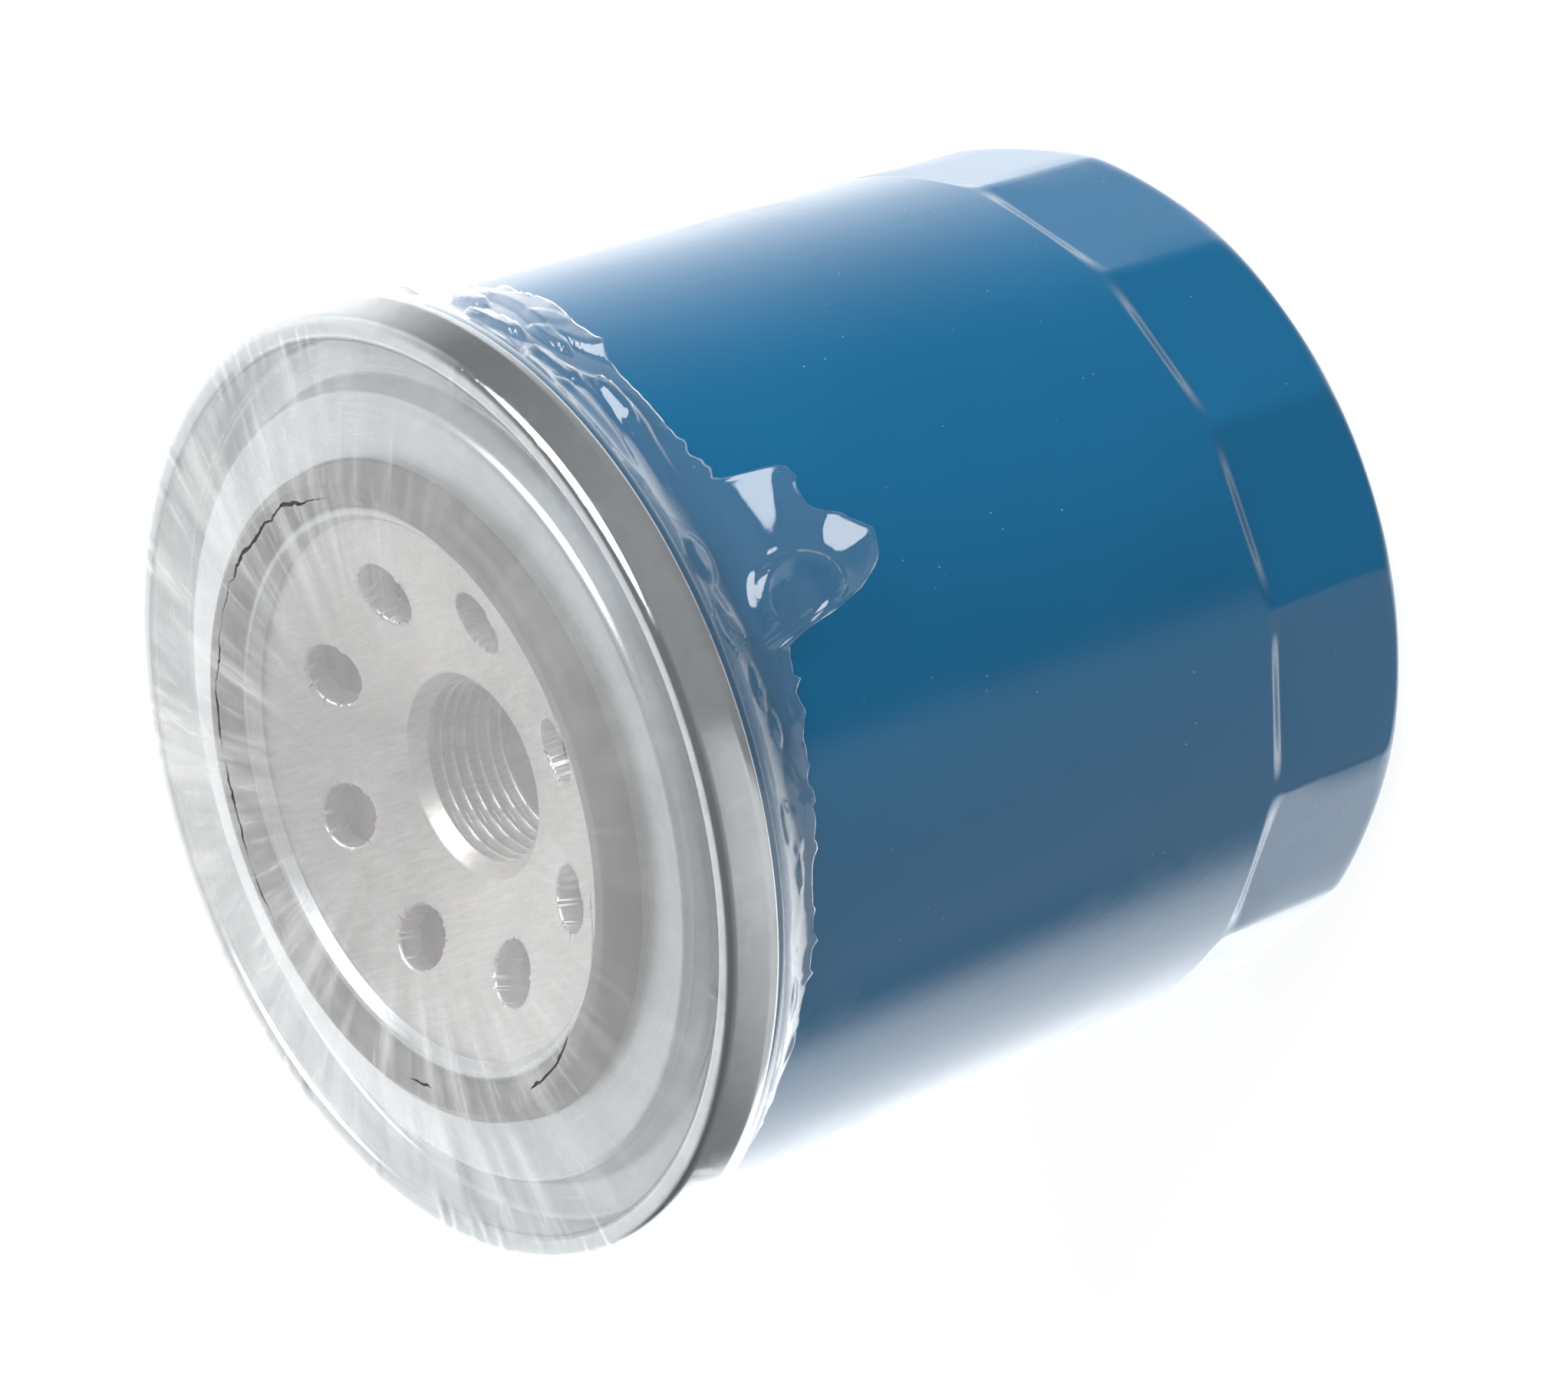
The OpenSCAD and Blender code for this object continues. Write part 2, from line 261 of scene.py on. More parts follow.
class Nodes:
    """Short calls for building one node tree."""

    def __init__(self, tree):
        self.tree = tree

    def add(self, kind, **values):
        """A node with its inputs set or linked."""
        node = self.tree.nodes.new(kind)
        self.feed(node, **values)
        return node

    def feed(self, node, **values):
        """Sets or links a node's inputs by their names."""
        for key, value in values.items():
            self.put(node.inputs[key.replace("_", " ")], value)

    def put(self, socket, value):
        """Links a socket into an input, or sets the input to a plain value."""
        if isinstance(value, bpy.types.NodeSocket):
            self.tree.links.new(value, socket)
        else:
            socket.default_value = value

    def math(self, operation, a, b=0.0, clamp=False):
        """One step of arithmetic."""
        node = self.tree.nodes.new("ShaderNodeMath")
        node.operation = operation
        node.use_clamp = clamp
        self.put(node.inputs[0], a)
        self.put(node.inputs[1], b)
        return node.outputs[0]

    def plus(self, a, b):
        return self.math("ADD", a, b)

    def times(self, a, b):
        return self.math("MULTIPLY", a, b)

    def rest(self, share):
        """What a share leaves of one."""
        return self.math("SUBTRACT", 1.0, share)

    def ramp(self, value, low, high, start=0.0, end=1.0, smooth=True):
        """A value taken from one range to another."""
        node = self.tree.nodes.new("ShaderNodeMapRange")
        node.interpolation_type = "SMOOTHSTEP" if smooth else "LINEAR"
        for socket, number in zip(node.inputs[:5], (value, low, high, start, end)):
            self.put(socket, number)
        return node.outputs[0]

    def noise(self, vector, scale, detail=4.0, roughness=0.55):
        node = self.add("ShaderNodeTexNoise", Vector=vector, Scale=scale, Detail=detail, Roughness=roughness)
        return node.outputs["Fac"]

    def mix(self, factor, a, b):
        node = self.tree.nodes.new("ShaderNodeMix")
        node.data_type = "RGBA"
        self.put(node.inputs[0], factor)
        self.put(node.inputs[6], a)
        self.put(node.inputs[7], b)
        return node.outputs[2]

    def bump(self, height, strength, distance, normal=None):
        node = self.add("ShaderNodeBump", Strength=strength, Distance=distance, Height=height)
        if normal is not None:
            self.put(node.inputs["Normal"], normal)
        return node.outputs["Normal"]

    def place(self):
        """Object coordinates in millimetres."""
        coordinates = self.tree.nodes.new("ShaderNodeTexCoord").outputs["Object"]
        scaled = self.tree.nodes.new("ShaderNodeVectorMath")
        scaled.operation = "SCALE"
        self.put(scaled.inputs[0], coordinates)
        scaled.inputs["Scale"].default_value = 1 / MM
        return scaled.outputs[0]


def group(name, vectors=(), numbers=("Mask",), **inputs):
    """An empty node group that takes a place and numbers, and gives vectors and numbers."""
    tree = bpy.data.node_groups.new(name, "ShaderNodeTree")
    tree.interface.new_socket("Place", in_out="INPUT", socket_type="NodeSocketVector")
    for socket, default in inputs.items():
        item = tree.interface.new_socket(socket, in_out="INPUT", socket_type="NodeSocketFloat")
        item.default_value = default
    for socket in vectors:
        tree.interface.new_socket(socket, in_out="OUTPUT", socket_type="NodeSocketVector")
    for socket in numbers:
        tree.interface.new_socket(socket, in_out="OUTPUT", socket_type="NodeSocketFloat")
    nodes = Nodes(tree)
    source = tree.nodes.new("NodeGroupInput").outputs
    sink = tree.nodes.new("NodeGroupOutput").inputs
    return nodes, source, sink


def shared(name):
    """The node group of that name, built once."""
    tree = bpy.data.node_groups.get(name)
    return tree if tree else GROUPS[name]()


def use(nodes, name, **values):
    """A shared group placed in a material."""
    node = nodes.tree.nodes.new("ShaderNodeGroup")
    node.node_tree = shared(name)
    nodes.feed(node, **values)
    return node.outputs


def mask(nodes, name, place, **values):
    """The mask that a shared group makes of a place."""
    return use(nodes, name, Place=place, **values)["Mask"]


def build_round_place():
    """A place as the turn round the axis and the distance from it.

    Noise runs in circles on the Ring vector, and in lines out from the axis on the Spoke vector.
    """
    nodes, source, sink = group("Round place", vectors=("Ring", "Spoke"), numbers=("Radius",))
    x, y, z = nodes.add("ShaderNodeSeparateXYZ", Vector=source["Place"]).outputs
    radius = nodes.math("SQRT", nodes.plus(nodes.times(x, x), nodes.times(y, y)))
    safe = nodes.math("MAXIMUM", radius, 0.01)
    across = nodes.math("DIVIDE", x, safe)
    along = nodes.math("DIVIDE", y, safe)
    spoke = nodes.add("ShaderNodeCombineXYZ", X=across, Y=along, Z=nodes.times(radius, 0.004))
    ring = nodes.add("ShaderNodeCombineXYZ")
    nodes.feed(ring, X=nodes.times(across, 0.3), Y=nodes.times(along, 0.3), Z=nodes.plus(radius, z))
    nodes.put(sink["Ring"], ring.outputs[0])
    nodes.put(sink["Spoke"], spoke.outputs[0])
    nodes.put(sink["Radius"], radius)
    return nodes.tree


def build_smudge():
    """Soft uneven patches, such as handling marks and thin oil."""
    nodes, source, sink = group("Smudge", Size=12.0, Amount=0.5)
    scale = nodes.math("DIVIDE", 1.0, source["Size"])
    broad = nodes.noise(source["Place"], scale, 5.0, 0.6)
    fine = nodes.noise(source["Place"], nodes.times(scale, 7.0), 3.0, 0.6)
    both = nodes.plus(nodes.times(broad, 0.7), nodes.times(fine, 0.3))
    nodes.put(sink["Mask"], nodes.times(nodes.ramp(both, 0.42, 0.62), source["Amount"]))
    return nodes.tree


def build_dust():
    """Scattered specks of dust."""
    nodes, source, sink = group("Dust", Spacing=4.0, Share=0.3)
    scale = nodes.math("DIVIDE", 1.0, source["Spacing"])
    cells = nodes.add("ShaderNodeTexVoronoi", Vector=source["Place"], Scale=scale, Randomness=1.0)
    chance = nodes.add("ShaderNodeSeparateColor", Color=cells.outputs["Color"]).outputs
    size = nodes.times(chance[1], 0.055)
    speck = nodes.math("LESS_THAN", cells.outputs["Distance"], size)
    kept = nodes.math("LESS_THAN", chance[0], source["Share"])
    nodes.put(sink["Mask"], nodes.times(speck, kept))
    return nodes.tree


def build_grain():
    """Fine drawn lines that run along a stretched vector."""
    nodes, source, sink = group("Metal grain", Scale=3.0)
    broad = nodes.noise(source["Place"], source["Scale"], 3.0, 0.7)
    fine = nodes.noise(source["Place"], nodes.times(source["Scale"], 4.3), 2.0, 0.7)
    nodes.put(sink["Mask"], nodes.plus(nodes.times(broad, 0.6), nodes.times(fine, 0.4)))
    return nodes.tree


GROUPS = {
    "Round place": build_round_place,
    "Smudge": build_smudge,
    "Dust": build_dust,
    "Metal grain": build_grain,
}


def finish(name, colour, metallic=0.0, roughness=0.4, **plain):
    """A material with one Principled shader, and the helper for its nodes."""
    material = bpy.data.materials.new(name)
    material.use_nodes = True
    nodes = Nodes(material.node_tree)
    shader = material.node_tree.nodes["Principled BSDF"]
    shader.inputs["Base Color"].default_value = (*colour, 1)
    shader.inputs["Metallic"].default_value = metallic
    shader.inputs["Roughness"].default_value = roughness
    for key, value in plain.items():
        shader.inputs[key.replace("_", " ")].default_value = value
    return material, nodes, shader


def tone(colour, factor):
    """A colour made lighter or darker, with alpha."""
    return (*[min(1, c * factor) for c in colour], 1)


def can_paint(colour):
    """Gloss enamel with a faint orange peel, smudges and settled dust."""
    material, nodes, shader = finish("Blue enamel", colour, roughness=0.15)
    place = nodes.place()
    smudge = mask(nodes, "Smudge", place, Size=26.0, Amount=1.0)
    dust = mask(nodes, "Dust", place, Spacing=1.6, Share=0.55)
    depth = nodes.noise(place, 0.03, 2.0)
    base = nodes.mix(nodes.ramp(depth, 0.3, 0.7), tone(colour, 0.97), tone(colour, 1.05))
    dusted = nodes.mix(nodes.times(dust, 0.8), base, (0.5, 0.6, 0.68, 1))
    worn = nodes.ramp(smudge, 0.0, 1.0, 0.12, 0.19)
    peel = nodes.noise(place, 0.9, 2.0)
    height = nodes.plus(peel, nodes.times(dust, 2.0))
    nodes.feed(shader, Base_Color=dusted, Roughness=worn, Normal=nodes.bump(height, 0.12, 0.00006))
    return material


def zinc(colour):
    """Zinc plating with a soft spangle, faint turning marks and water stains."""
    material, nodes, shader = finish("Zinc plating", colour, metallic=0.85, roughness=0.34)
    place = nodes.place()
    turned = use(nodes, "Round place", Place=place)
    lines = mask(nodes, "Metal grain", turned["Ring"], Scale=2.4)
    stain = mask(nodes, "Smudge", place, Size=9.0, Amount=1.0)
    speck = mask(nodes, "Dust", place, Spacing=2.0, Share=0.25)
    spangle = nodes.add("ShaderNodeTexVoronoi", Vector=place, Scale=0.55).outputs["Color"]
    flake = nodes.add("ShaderNodeSeparateColor", Color=spangle).outputs[0]
    base = nodes.mix(nodes.ramp(flake, 0.0, 1.0, 0.0, 0.35), tone(colour, 1.0), tone(colour, 0.86))
    base = nodes.mix(nodes.times(stain, 0.4), base, tone(colour, 0.74))
    base = nodes.mix(nodes.times(speck, 0.6), base, (0.09, 0.08, 0.07, 1))
    satin = nodes.ramp(lines, 0.3, 0.7, 0.24, 0.4)
    rolled = nodes.ramp(turned["Radius"], CAN_R - 2, CAN_R - 0.5)  # the seam's rollers leave it brighter
    polished = nodes.ramp(stain, 0.0, 1.0, 0.09, 0.2)
    shine = nodes.plus(nodes.times(satin, nodes.rest(rolled)), nodes.times(polished, rolled))
    nodes.feed(shader, Base_Color=base, Roughness=shine, Normal=nodes.bump(lines, 0.18, 0.00004))
    return material


def plate_steel(colour):
    """Bare pressed steel: cross-scratched grain, drawing marks and dark smears."""
    material, nodes, shader = finish("Pressed steel", colour, metallic=0.8, roughness=0.4)
    place = nodes.place()
    turned = use(nodes, "Round place", Place=place)
    slant = (0, 0, math.radians(24))
    slanted = nodes.add("ShaderNodeMapping", Vector=place, Rotation=slant, Scale=(0.12, 1.6, 0.5))
    brushed = mask(nodes, "Metal grain", slanted.outputs[0], Scale=1.6)
    drawn = mask(nodes, "Metal grain", turned["Ring"], Scale=1.3)
    stain = mask(nodes, "Smudge", place, Size=7.0, Amount=1.0)
    speck = mask(nodes, "Dust", place, Spacing=1.6, Share=0.2)
    base = nodes.mix(nodes.ramp(brushed, 0.35, 0.65), tone(colour, 0.82), tone(colour, 1.1))
    base = nodes.mix(nodes.times(stain, 0.35), base, tone(colour, 0.66))
    base = nodes.mix(nodes.times(speck, 0.5), base, (0.12, 0.1, 0.09, 1))
    both = nodes.plus(nodes.times(brushed, 0.6), nodes.times(drawn, 0.4))
    rough = nodes.ramp(both, 0.3, 0.7, 0.3, 0.5)
    nodes.feed(shader, Base_Color=base, Roughness=rough, Normal=nodes.bump(both, 0.22, 0.00005))
    return material


def rubber(name, colour, dusty=0.4):
    """Moulded rubber with flow marks and pale dust."""
    material, nodes, shader = finish(name, colour, roughness=0.55)
    place = nodes.place()
    turned = use(nodes, "Round place", Place=place)
    rings = mask(nodes, "Metal grain", turned["Ring"], Scale=1.1)
    bloom = mask(nodes, "Smudge", place, Size=6.0, Amount=dusty)
    speck = mask(nodes, "Dust", place, Spacing=1.8, Share=0.4)
    base = nodes.mix(bloom, tone(colour, 1.0), tone(colour, 1.9))
    base = nodes.mix(nodes.times(speck, 0.6), base, (0.35, 0.34, 0.33, 1))
    matt = nodes.ramp(bloom, 0.0, 0.5, 0.45, 0.68)
    height = nodes.plus(rings, nodes.noise(place, 3.5))
    nodes.feed(shader, Base_Color=base, Roughness=matt, Normal=nodes.bump(height, 0.25, 0.00008))
    return material


def tin_plate(name, colour, roughness):
    """Thin pressed sheet of the inner parts, with rolling lines."""
    material, nodes, shader = finish(name, colour, metallic=0.95, roughness=roughness)
    place = nodes.place()
    rolled = nodes.add("ShaderNodeMapping", Vector=place, Scale=(0.1, 1.4, 0.4))
    lines = mask(nodes, "Metal grain", rolled.outputs[0], Scale=1.8)
    film_of_oil = mask(nodes, "Smudge", place, Size=14.0, Amount=1.0)
    base = nodes.mix(nodes.ramp(lines, 0.35, 0.65), tone(colour, 0.88), tone(colour, 1.06))
    base = nodes.mix(nodes.times(film_of_oil, 0.3), base, tone(colour, 0.7))
    oiled = nodes.ramp(film_of_oil, 0.0, 1.0, roughness, roughness * 0.6)
    nodes.feed(shader, Base_Color=base, Roughness=oiled, Normal=nodes.bump(lines, 0.15, 0.00004))
    return material


def filter_paper(colour):
    """Resin-cured paper: matted fibres and embossed cross lines."""
    material, nodes, shader = finish("Filter paper", colour, roughness=0.85)
    place = nodes.place()
    fibre = nodes.noise(place, 1.9, 6.0, 0.75)
    blotch = mask(nodes, "Smudge", place, Size=8.0, Amount=1.0)
    height = nodes.add("ShaderNodeSeparateXYZ", Vector=place).outputs[2]
    emboss = nodes.math("SINE", nodes.times(height, FULL_TURN / 2.4))
    base = nodes.mix(nodes.ramp(fibre, 0.3, 0.7), tone(colour, 0.8), tone(colour, 1.2))
    base = nodes.mix(nodes.times(blotch, 0.3), base, tone(colour, 0.75))
    surface = nodes.plus(fibre, nodes.times(emboss, 0.5))
    nodes.feed(shader, Base_Color=base, Normal=nodes.bump(surface, 0.5, 0.00012))
    return material


def cured_adhesive(colour):
    """Poured adhesive: a waxy skin with small bubbles."""
    material, nodes, shader = finish("Adhesive", colour, roughness=0.45, Subsurface_Weight=0.15)
    place = nodes.place()
    bubbles = nodes.add("ShaderNodeTexVoronoi", Vector=place, Scale=0.9).outputs["Distance"]
    cloud = nodes.noise(place, 0.25)
    base = nodes.mix(nodes.ramp(cloud, 0.35, 0.65), tone(colour, 0.85), tone(colour, 1.12))
    nodes.feed(shader, Base_Color=base, Normal=nodes.bump(nodes.ramp(bubbles, 0.0, 0.3), 0.3, 0.0001))
    return material


FILM_INDEX = 1.5
CLING_R = 30.6  # radius of the line where the film clings to the gasket, in millimetres


def clear_film():
    """Stretched clear film: mirror-like at a slant, with milky tension streaks and rubbed patches."""
    material = bpy.data.materials.new("Clear film")
    material.use_nodes = True
    tree = material.node_tree
    tree.nodes.clear()
    nodes = Nodes(tree)
    place = nodes.place()
    turned = use(nodes, "Round place", Place=place)
    broad = nodes.noise(turned["Spoke"], 7.0, 3.0, 0.6)
    narrow = nodes.noise(turned["Spoke"], 26.0, 2.0, 0.6)
    streaks = nodes.times(nodes.ramp(broad, 0.44, 0.7), 0.24)
    threads = nodes.times(nodes.ramp(narrow, 0.53, 0.8), 0.2)
    drawn = nodes.times(nodes.plus(streaks, threads), nodes.ramp(turned["Radius"], 17.0, 29.0))
    # The streaks are full on the +X side of the face and thin to about an eighth of that towards -X
    side = nodes.add("ShaderNodeSeparateXYZ", Vector=place).outputs["X"]
    drawn = nodes.times(drawn, nodes.ramp(side, -34.0, 8.0, 0.12, 1.0))
    on_face = nodes.ramp(turned["Radius"], 44.0, 46.3, 1.0, 0.0)
    rubbed = mask(nodes, "Smudge", place, Size=22.0, Amount=0.04)
    cloud = nodes.plus(drawn, nodes.plus(rubbed, 0.1))
    milk = nodes.math("ADD", nodes.times(cloud, on_face), 0.02, clamp=True)
    # It clings to the gasket along a broken line, which shows dark
    wander = nodes.ramp(nodes.noise(place, 0.13, 4.0), 0.3, 0.7, -0.7, 0.7, smooth=False)
    off_line = nodes.math("ABSOLUTE", nodes.math("SUBTRACT", nodes.plus(turned["Radius"], wander), CLING_R))
    width = nodes.ramp(nodes.noise(turned["Spoke"], 3.0, 2.0), 0.5, 0.66, 0.0, 0.17)
    clings = nodes.math("LESS_THAN", off_line, width)
    milk = nodes.times(milk, nodes.rest(clings))
    crinkle = nodes.bump(nodes.noise(place, 0.8, 3.0), 0.12, 0.00008)
    clear = nodes.add("ShaderNodeBsdfTransparent", Color=(1, 1, 1, 1))
    haze = nodes.add("ShaderNodeBsdfPrincipled", Base_Color=(0.9, 0.91, 0.92, 1), Roughness=0.35)
    nodes.feed(haze, Normal=crinkle)
    veiled = nodes.add("ShaderNodeMixShader", Fac=milk)
    tree.links.new(clear.outputs[0], veiled.inputs[1])
    tree.links.new(haze.outputs[0], veiled.inputs[2])
    gloss = nodes.add("ShaderNodeBsdfGlossy", Color=(1, 1, 1, 1), Roughness=0.05, Normal=crinkle)
    back = nodes.add("ShaderNodeNewGeometry").outputs["Backfacing"]
    both_sides_alike = nodes.times(back, FILM_INDEX - 1 / FILM_INDEX)
    index = nodes.math("SUBTRACT", FILM_INDEX, both_sides_alike)
    mirror = nodes.add("ShaderNodeFresnel", IOR=index, Normal=crinkle)
    shine = nodes.times(mirror.outputs[0], nodes.rest(clings))
    out = nodes.add("ShaderNodeMixShader", Fac=shine)
    tree.links.new(veiled.outputs[0], out.inputs[1])
    tree.links.new(gloss.outputs[0], out.inputs[2])
    surface = nodes.add("ShaderNodeOutputMaterial")
    tree.links.new(out.outputs[0], surface.inputs["Surface"])
    return material


# The painted can


SLOPE_START = 0.7  # how far below the flats' height the slope above a flat begins
DISH_R, DISH_RISE = 31, 1.6  # the closed end's shallow dish
FOOT_R = 34  # where the closed end stands


def flat_limit(angle, height, flats, flats_height, shoulder):
    """The radius that the wrench flats leave at an angle and a height, in millimetres."""
    step = FULL_TURN / flats
    off_centre = (angle % step) - step / 2
    depth = CAN_R - CAN_R * math.cos(step / 2) / math.cos(off_centre)
    pressed = smooth_step(flats_height + shoulder, flats_height - SLOPE_START, height - 0.5 * depth)
    return CAN_R - depth * pressed


def soft_minimum(a, b, softness):
    """The lesser of two numbers, with the corner between them rounded."""
    h = min(max(0.5 + 0.5 * (b - a) / softness, 0), 1)
    return b + (a - b) * h - softness * h * (1 - h)


class OILFILTER_OT_canister(bpy.types.Operator):
    """Makes the painted can with its wrench flats"""

    bl_idname = "oilfilter.canister"
    bl_label = "Can"

    def execute(self, context):
        sizes = context.scene.filter_sizes
        wall = sizes.wall / MM
        flats_h, shoulder = sizes.flats_height / MM, sizes.shoulder_height / MM
        foot, top = -SHOULDER, -3.6
        dish = foot + DISH_RISE
        outside = rounded(
            [
                (0, dish),
                (DISH_R, dish, 1.2),
                (FOOT_R, foot, 1.4),
                (CAN_R, foot, 4),
                (CAN_R, foot + flats_h - 1.0),
            ],
            steps=14,
        )
        slope = [Vector((CAN_R, foot + flats_h - 0.9)), Vector((CAN_R, foot + flats_h + shoulder + 0.6))]
        crescents = finer(slope, 0.12)  # rows close enough to show the flats' curved ends
        outside = finer(outside, 2.5) + crescents + finer([crescents[-1], Vector((CAN_R, top))], 8)[1:]
        hook = [
            (CAN_R, top),
            (CAN_R, -0.6, 0),
            (CAN_R + 0.45, -0.6, 0),
            (CAN_R + 1.2, -2.9),
            (CAN_R + 1.8, -2.9),
            (CAN_R + 0.48, 0, 0.4),
            (CAN_R - wall, 0, 0.4),
            (CAN_R - wall, top),
        ]
        inside = rounded(
            [
                (CAN_R - wall, top),
                (CAN_R - wall, foot + wall, 3.4),
                (FOOT_R, foot + wall, 1.4),
                (DISH_R, dish + wall, 1.2),
                (0, dish + wall),
            ]
        )
        bm = bmesh.new()
        outline = outside[:-1] + rounded(hook) + finer(inside, 4)[1:]
        spun(bm, outline, sizes.flats * 24, closed=False)
        for v in bm.verts:
            radius = math.hypot(v.co.x, v.co.y) / MM
            height = v.co.z / MM
            if radius < 38 or height > flats_h + 3 * shoulder:
                continue
            inset = wall if radius < CAN_R - 0.5 * wall and self.inside(radius, height, wall) else 0
            limit = flat_limit(math.atan2(v.co.y, v.co.x), height, sizes.flats, flats_h, shoulder) - inset
            softness = 0.02 + 0.7 * smooth_step(flats_h, flats_h - 7, height)
            kept = soft_minimum(radius, limit, softness)
            v.co.x *= kept / radius
            v.co.y *= kept / radius
        enamel = can_paint(context.scene.filter_colours.paint)
        finish_piece(bm, "painted_can", "housing", ["canister"], enamel, 50)
        return {"FINISHED"}

    def inside(self, radius, height, wall):
        """True for a point of the can's inner face, above the closed end's rounded edge or within it."""
        if height > 4.2:
            return True
        edge = 4
        return math.hypot(radius - (CAN_R - edge), height - edge) < edge - 0.5 * wall


# The zinc lid and what it holds


CHANNEL_IN, CHANNEL_OUT, CHANNEL_FLOOR = 29.4, 33.4, -2.0  # the gasket's channel
GROOVE_OUT, GROOVE_FLOOR = 45.25, -3.8  # the groove inside the seam
SEAM_TOP, SEAM_FOOT = 1.1, -4.0


def rectangle(inner, outer, bottom, top, fillet):
    """The outline of a ring with a rectangular section and small round corners."""
    corners = ((inner, bottom), (outer, bottom), (outer, top), (inner, top))
    return rounded([(*corner, fillet) for corner in corners], True, 4)


class OILFILTER_OT_lid(bpy.types.Operator):
    """Makes the zinc lid with its gasket channel and rolled seam, and the sealing compound in the seam"""

    bl_idname = "oilfilter.lid"
    bl_label = "Lid"

    def execute(self, context):
        path = rounded(
            [
                (27.5, 0.0),
                (28.3, 1.3, 0.7),
                (CHANNEL_IN, 1.3, 0.7),
                (CHANNEL_IN, CHANNEL_FLOOR, 0.4),
                (CHANNEL_OUT, CHANNEL_FLOOR, 0.4),
                (CHANNEL_OUT, 0.0, 0.35),
                (40.2, 0.0, 1.2),
                (41.0, GROOVE_FLOOR, 0.8),
                (GROOVE_OUT, GROOVE_FLOOR, 0.8),
                (GROOVE_OUT, SEAM_TOP, 1.05),
                (CAN_R + 1.2, SEAM_TOP, 1.2),
                (SEAM_R, -2.6, 0.9),
                (SEAM_R, SEAM_FOOT, 0.8),
                (CAN_R + 0.05, SEAM_FOOT, 0.7),
                (CAN_R + 0.05, -2.0),
            ]
        )
        sheet = context.scene.filter_sizes.sheet / MM
        plating = zinc(context.scene.filter_colours.zinc)
        lathed("zinc_lid", "housing", ["seaming_lid"], plating, sheet_outline(path, sheet), 240)
        compound = rubber("Seam compound", (0.05, 0.05, 0.05))
        bead = rectangle(46.15, 46.6, 0.06, 0.44, 0.1)
        lathed("seam_compound", "housing", ["seam_sealant"], compound, bead)
        return {"FINISHED"}


class OILFILTER_OT_gasket(bpy.types.Operator):
    """Makes the rubber gasket"""

    bl_idname = "oilfilter.gasket"
    bl_label = "Gasket"

    def execute(self, context):
        inner, outer, bottom, top = 29.45, 33.35, -1.95, 3.1
        corners = [(inner, bottom, 0.4), (outer, bottom, 0.4), (outer, top, 1.9), (inner, top, 1.6)]
        section = rounded(corners, True, 12)
        black = rubber("Gasket rubber", context.scene.filter_colours.rubber)
        lathed("rubber_gasket", "housing", ["sealing_gasket"], black, section, 256)
        return {"FINISHED"}


# The base plate


PLATE_SLOPE = math.radians(17.5)
PLATE_T = 3.2
MOUTH_R, MOUTH_Z = 10.6, -5.8  # where the dish meets the threaded hole
HUB_R, HUB_BOTTOM = 12.8, -17.5
RIM_IN, RIM_OUT = 28.5, 38.0  # the flat rim under the gasket's channel
RIM_TOP, RIM_BOTTOM = -2.6, -5.6


def plate_z(radius):
    """Height of the dished plate's upper face at a radius."""
    return MOUTH_Z + (radius - MOUTH_R) * math.tan(PLATE_SLOPE)


def thread_depth(turns):
    """How deep the thread is cut at a number of turns along it, from 0 at a crest to 1 at a root."""
    along = turns % 1
    return smooth_step(0.14, 0.42, along) - smooth_step(0.58, 0.86, along)


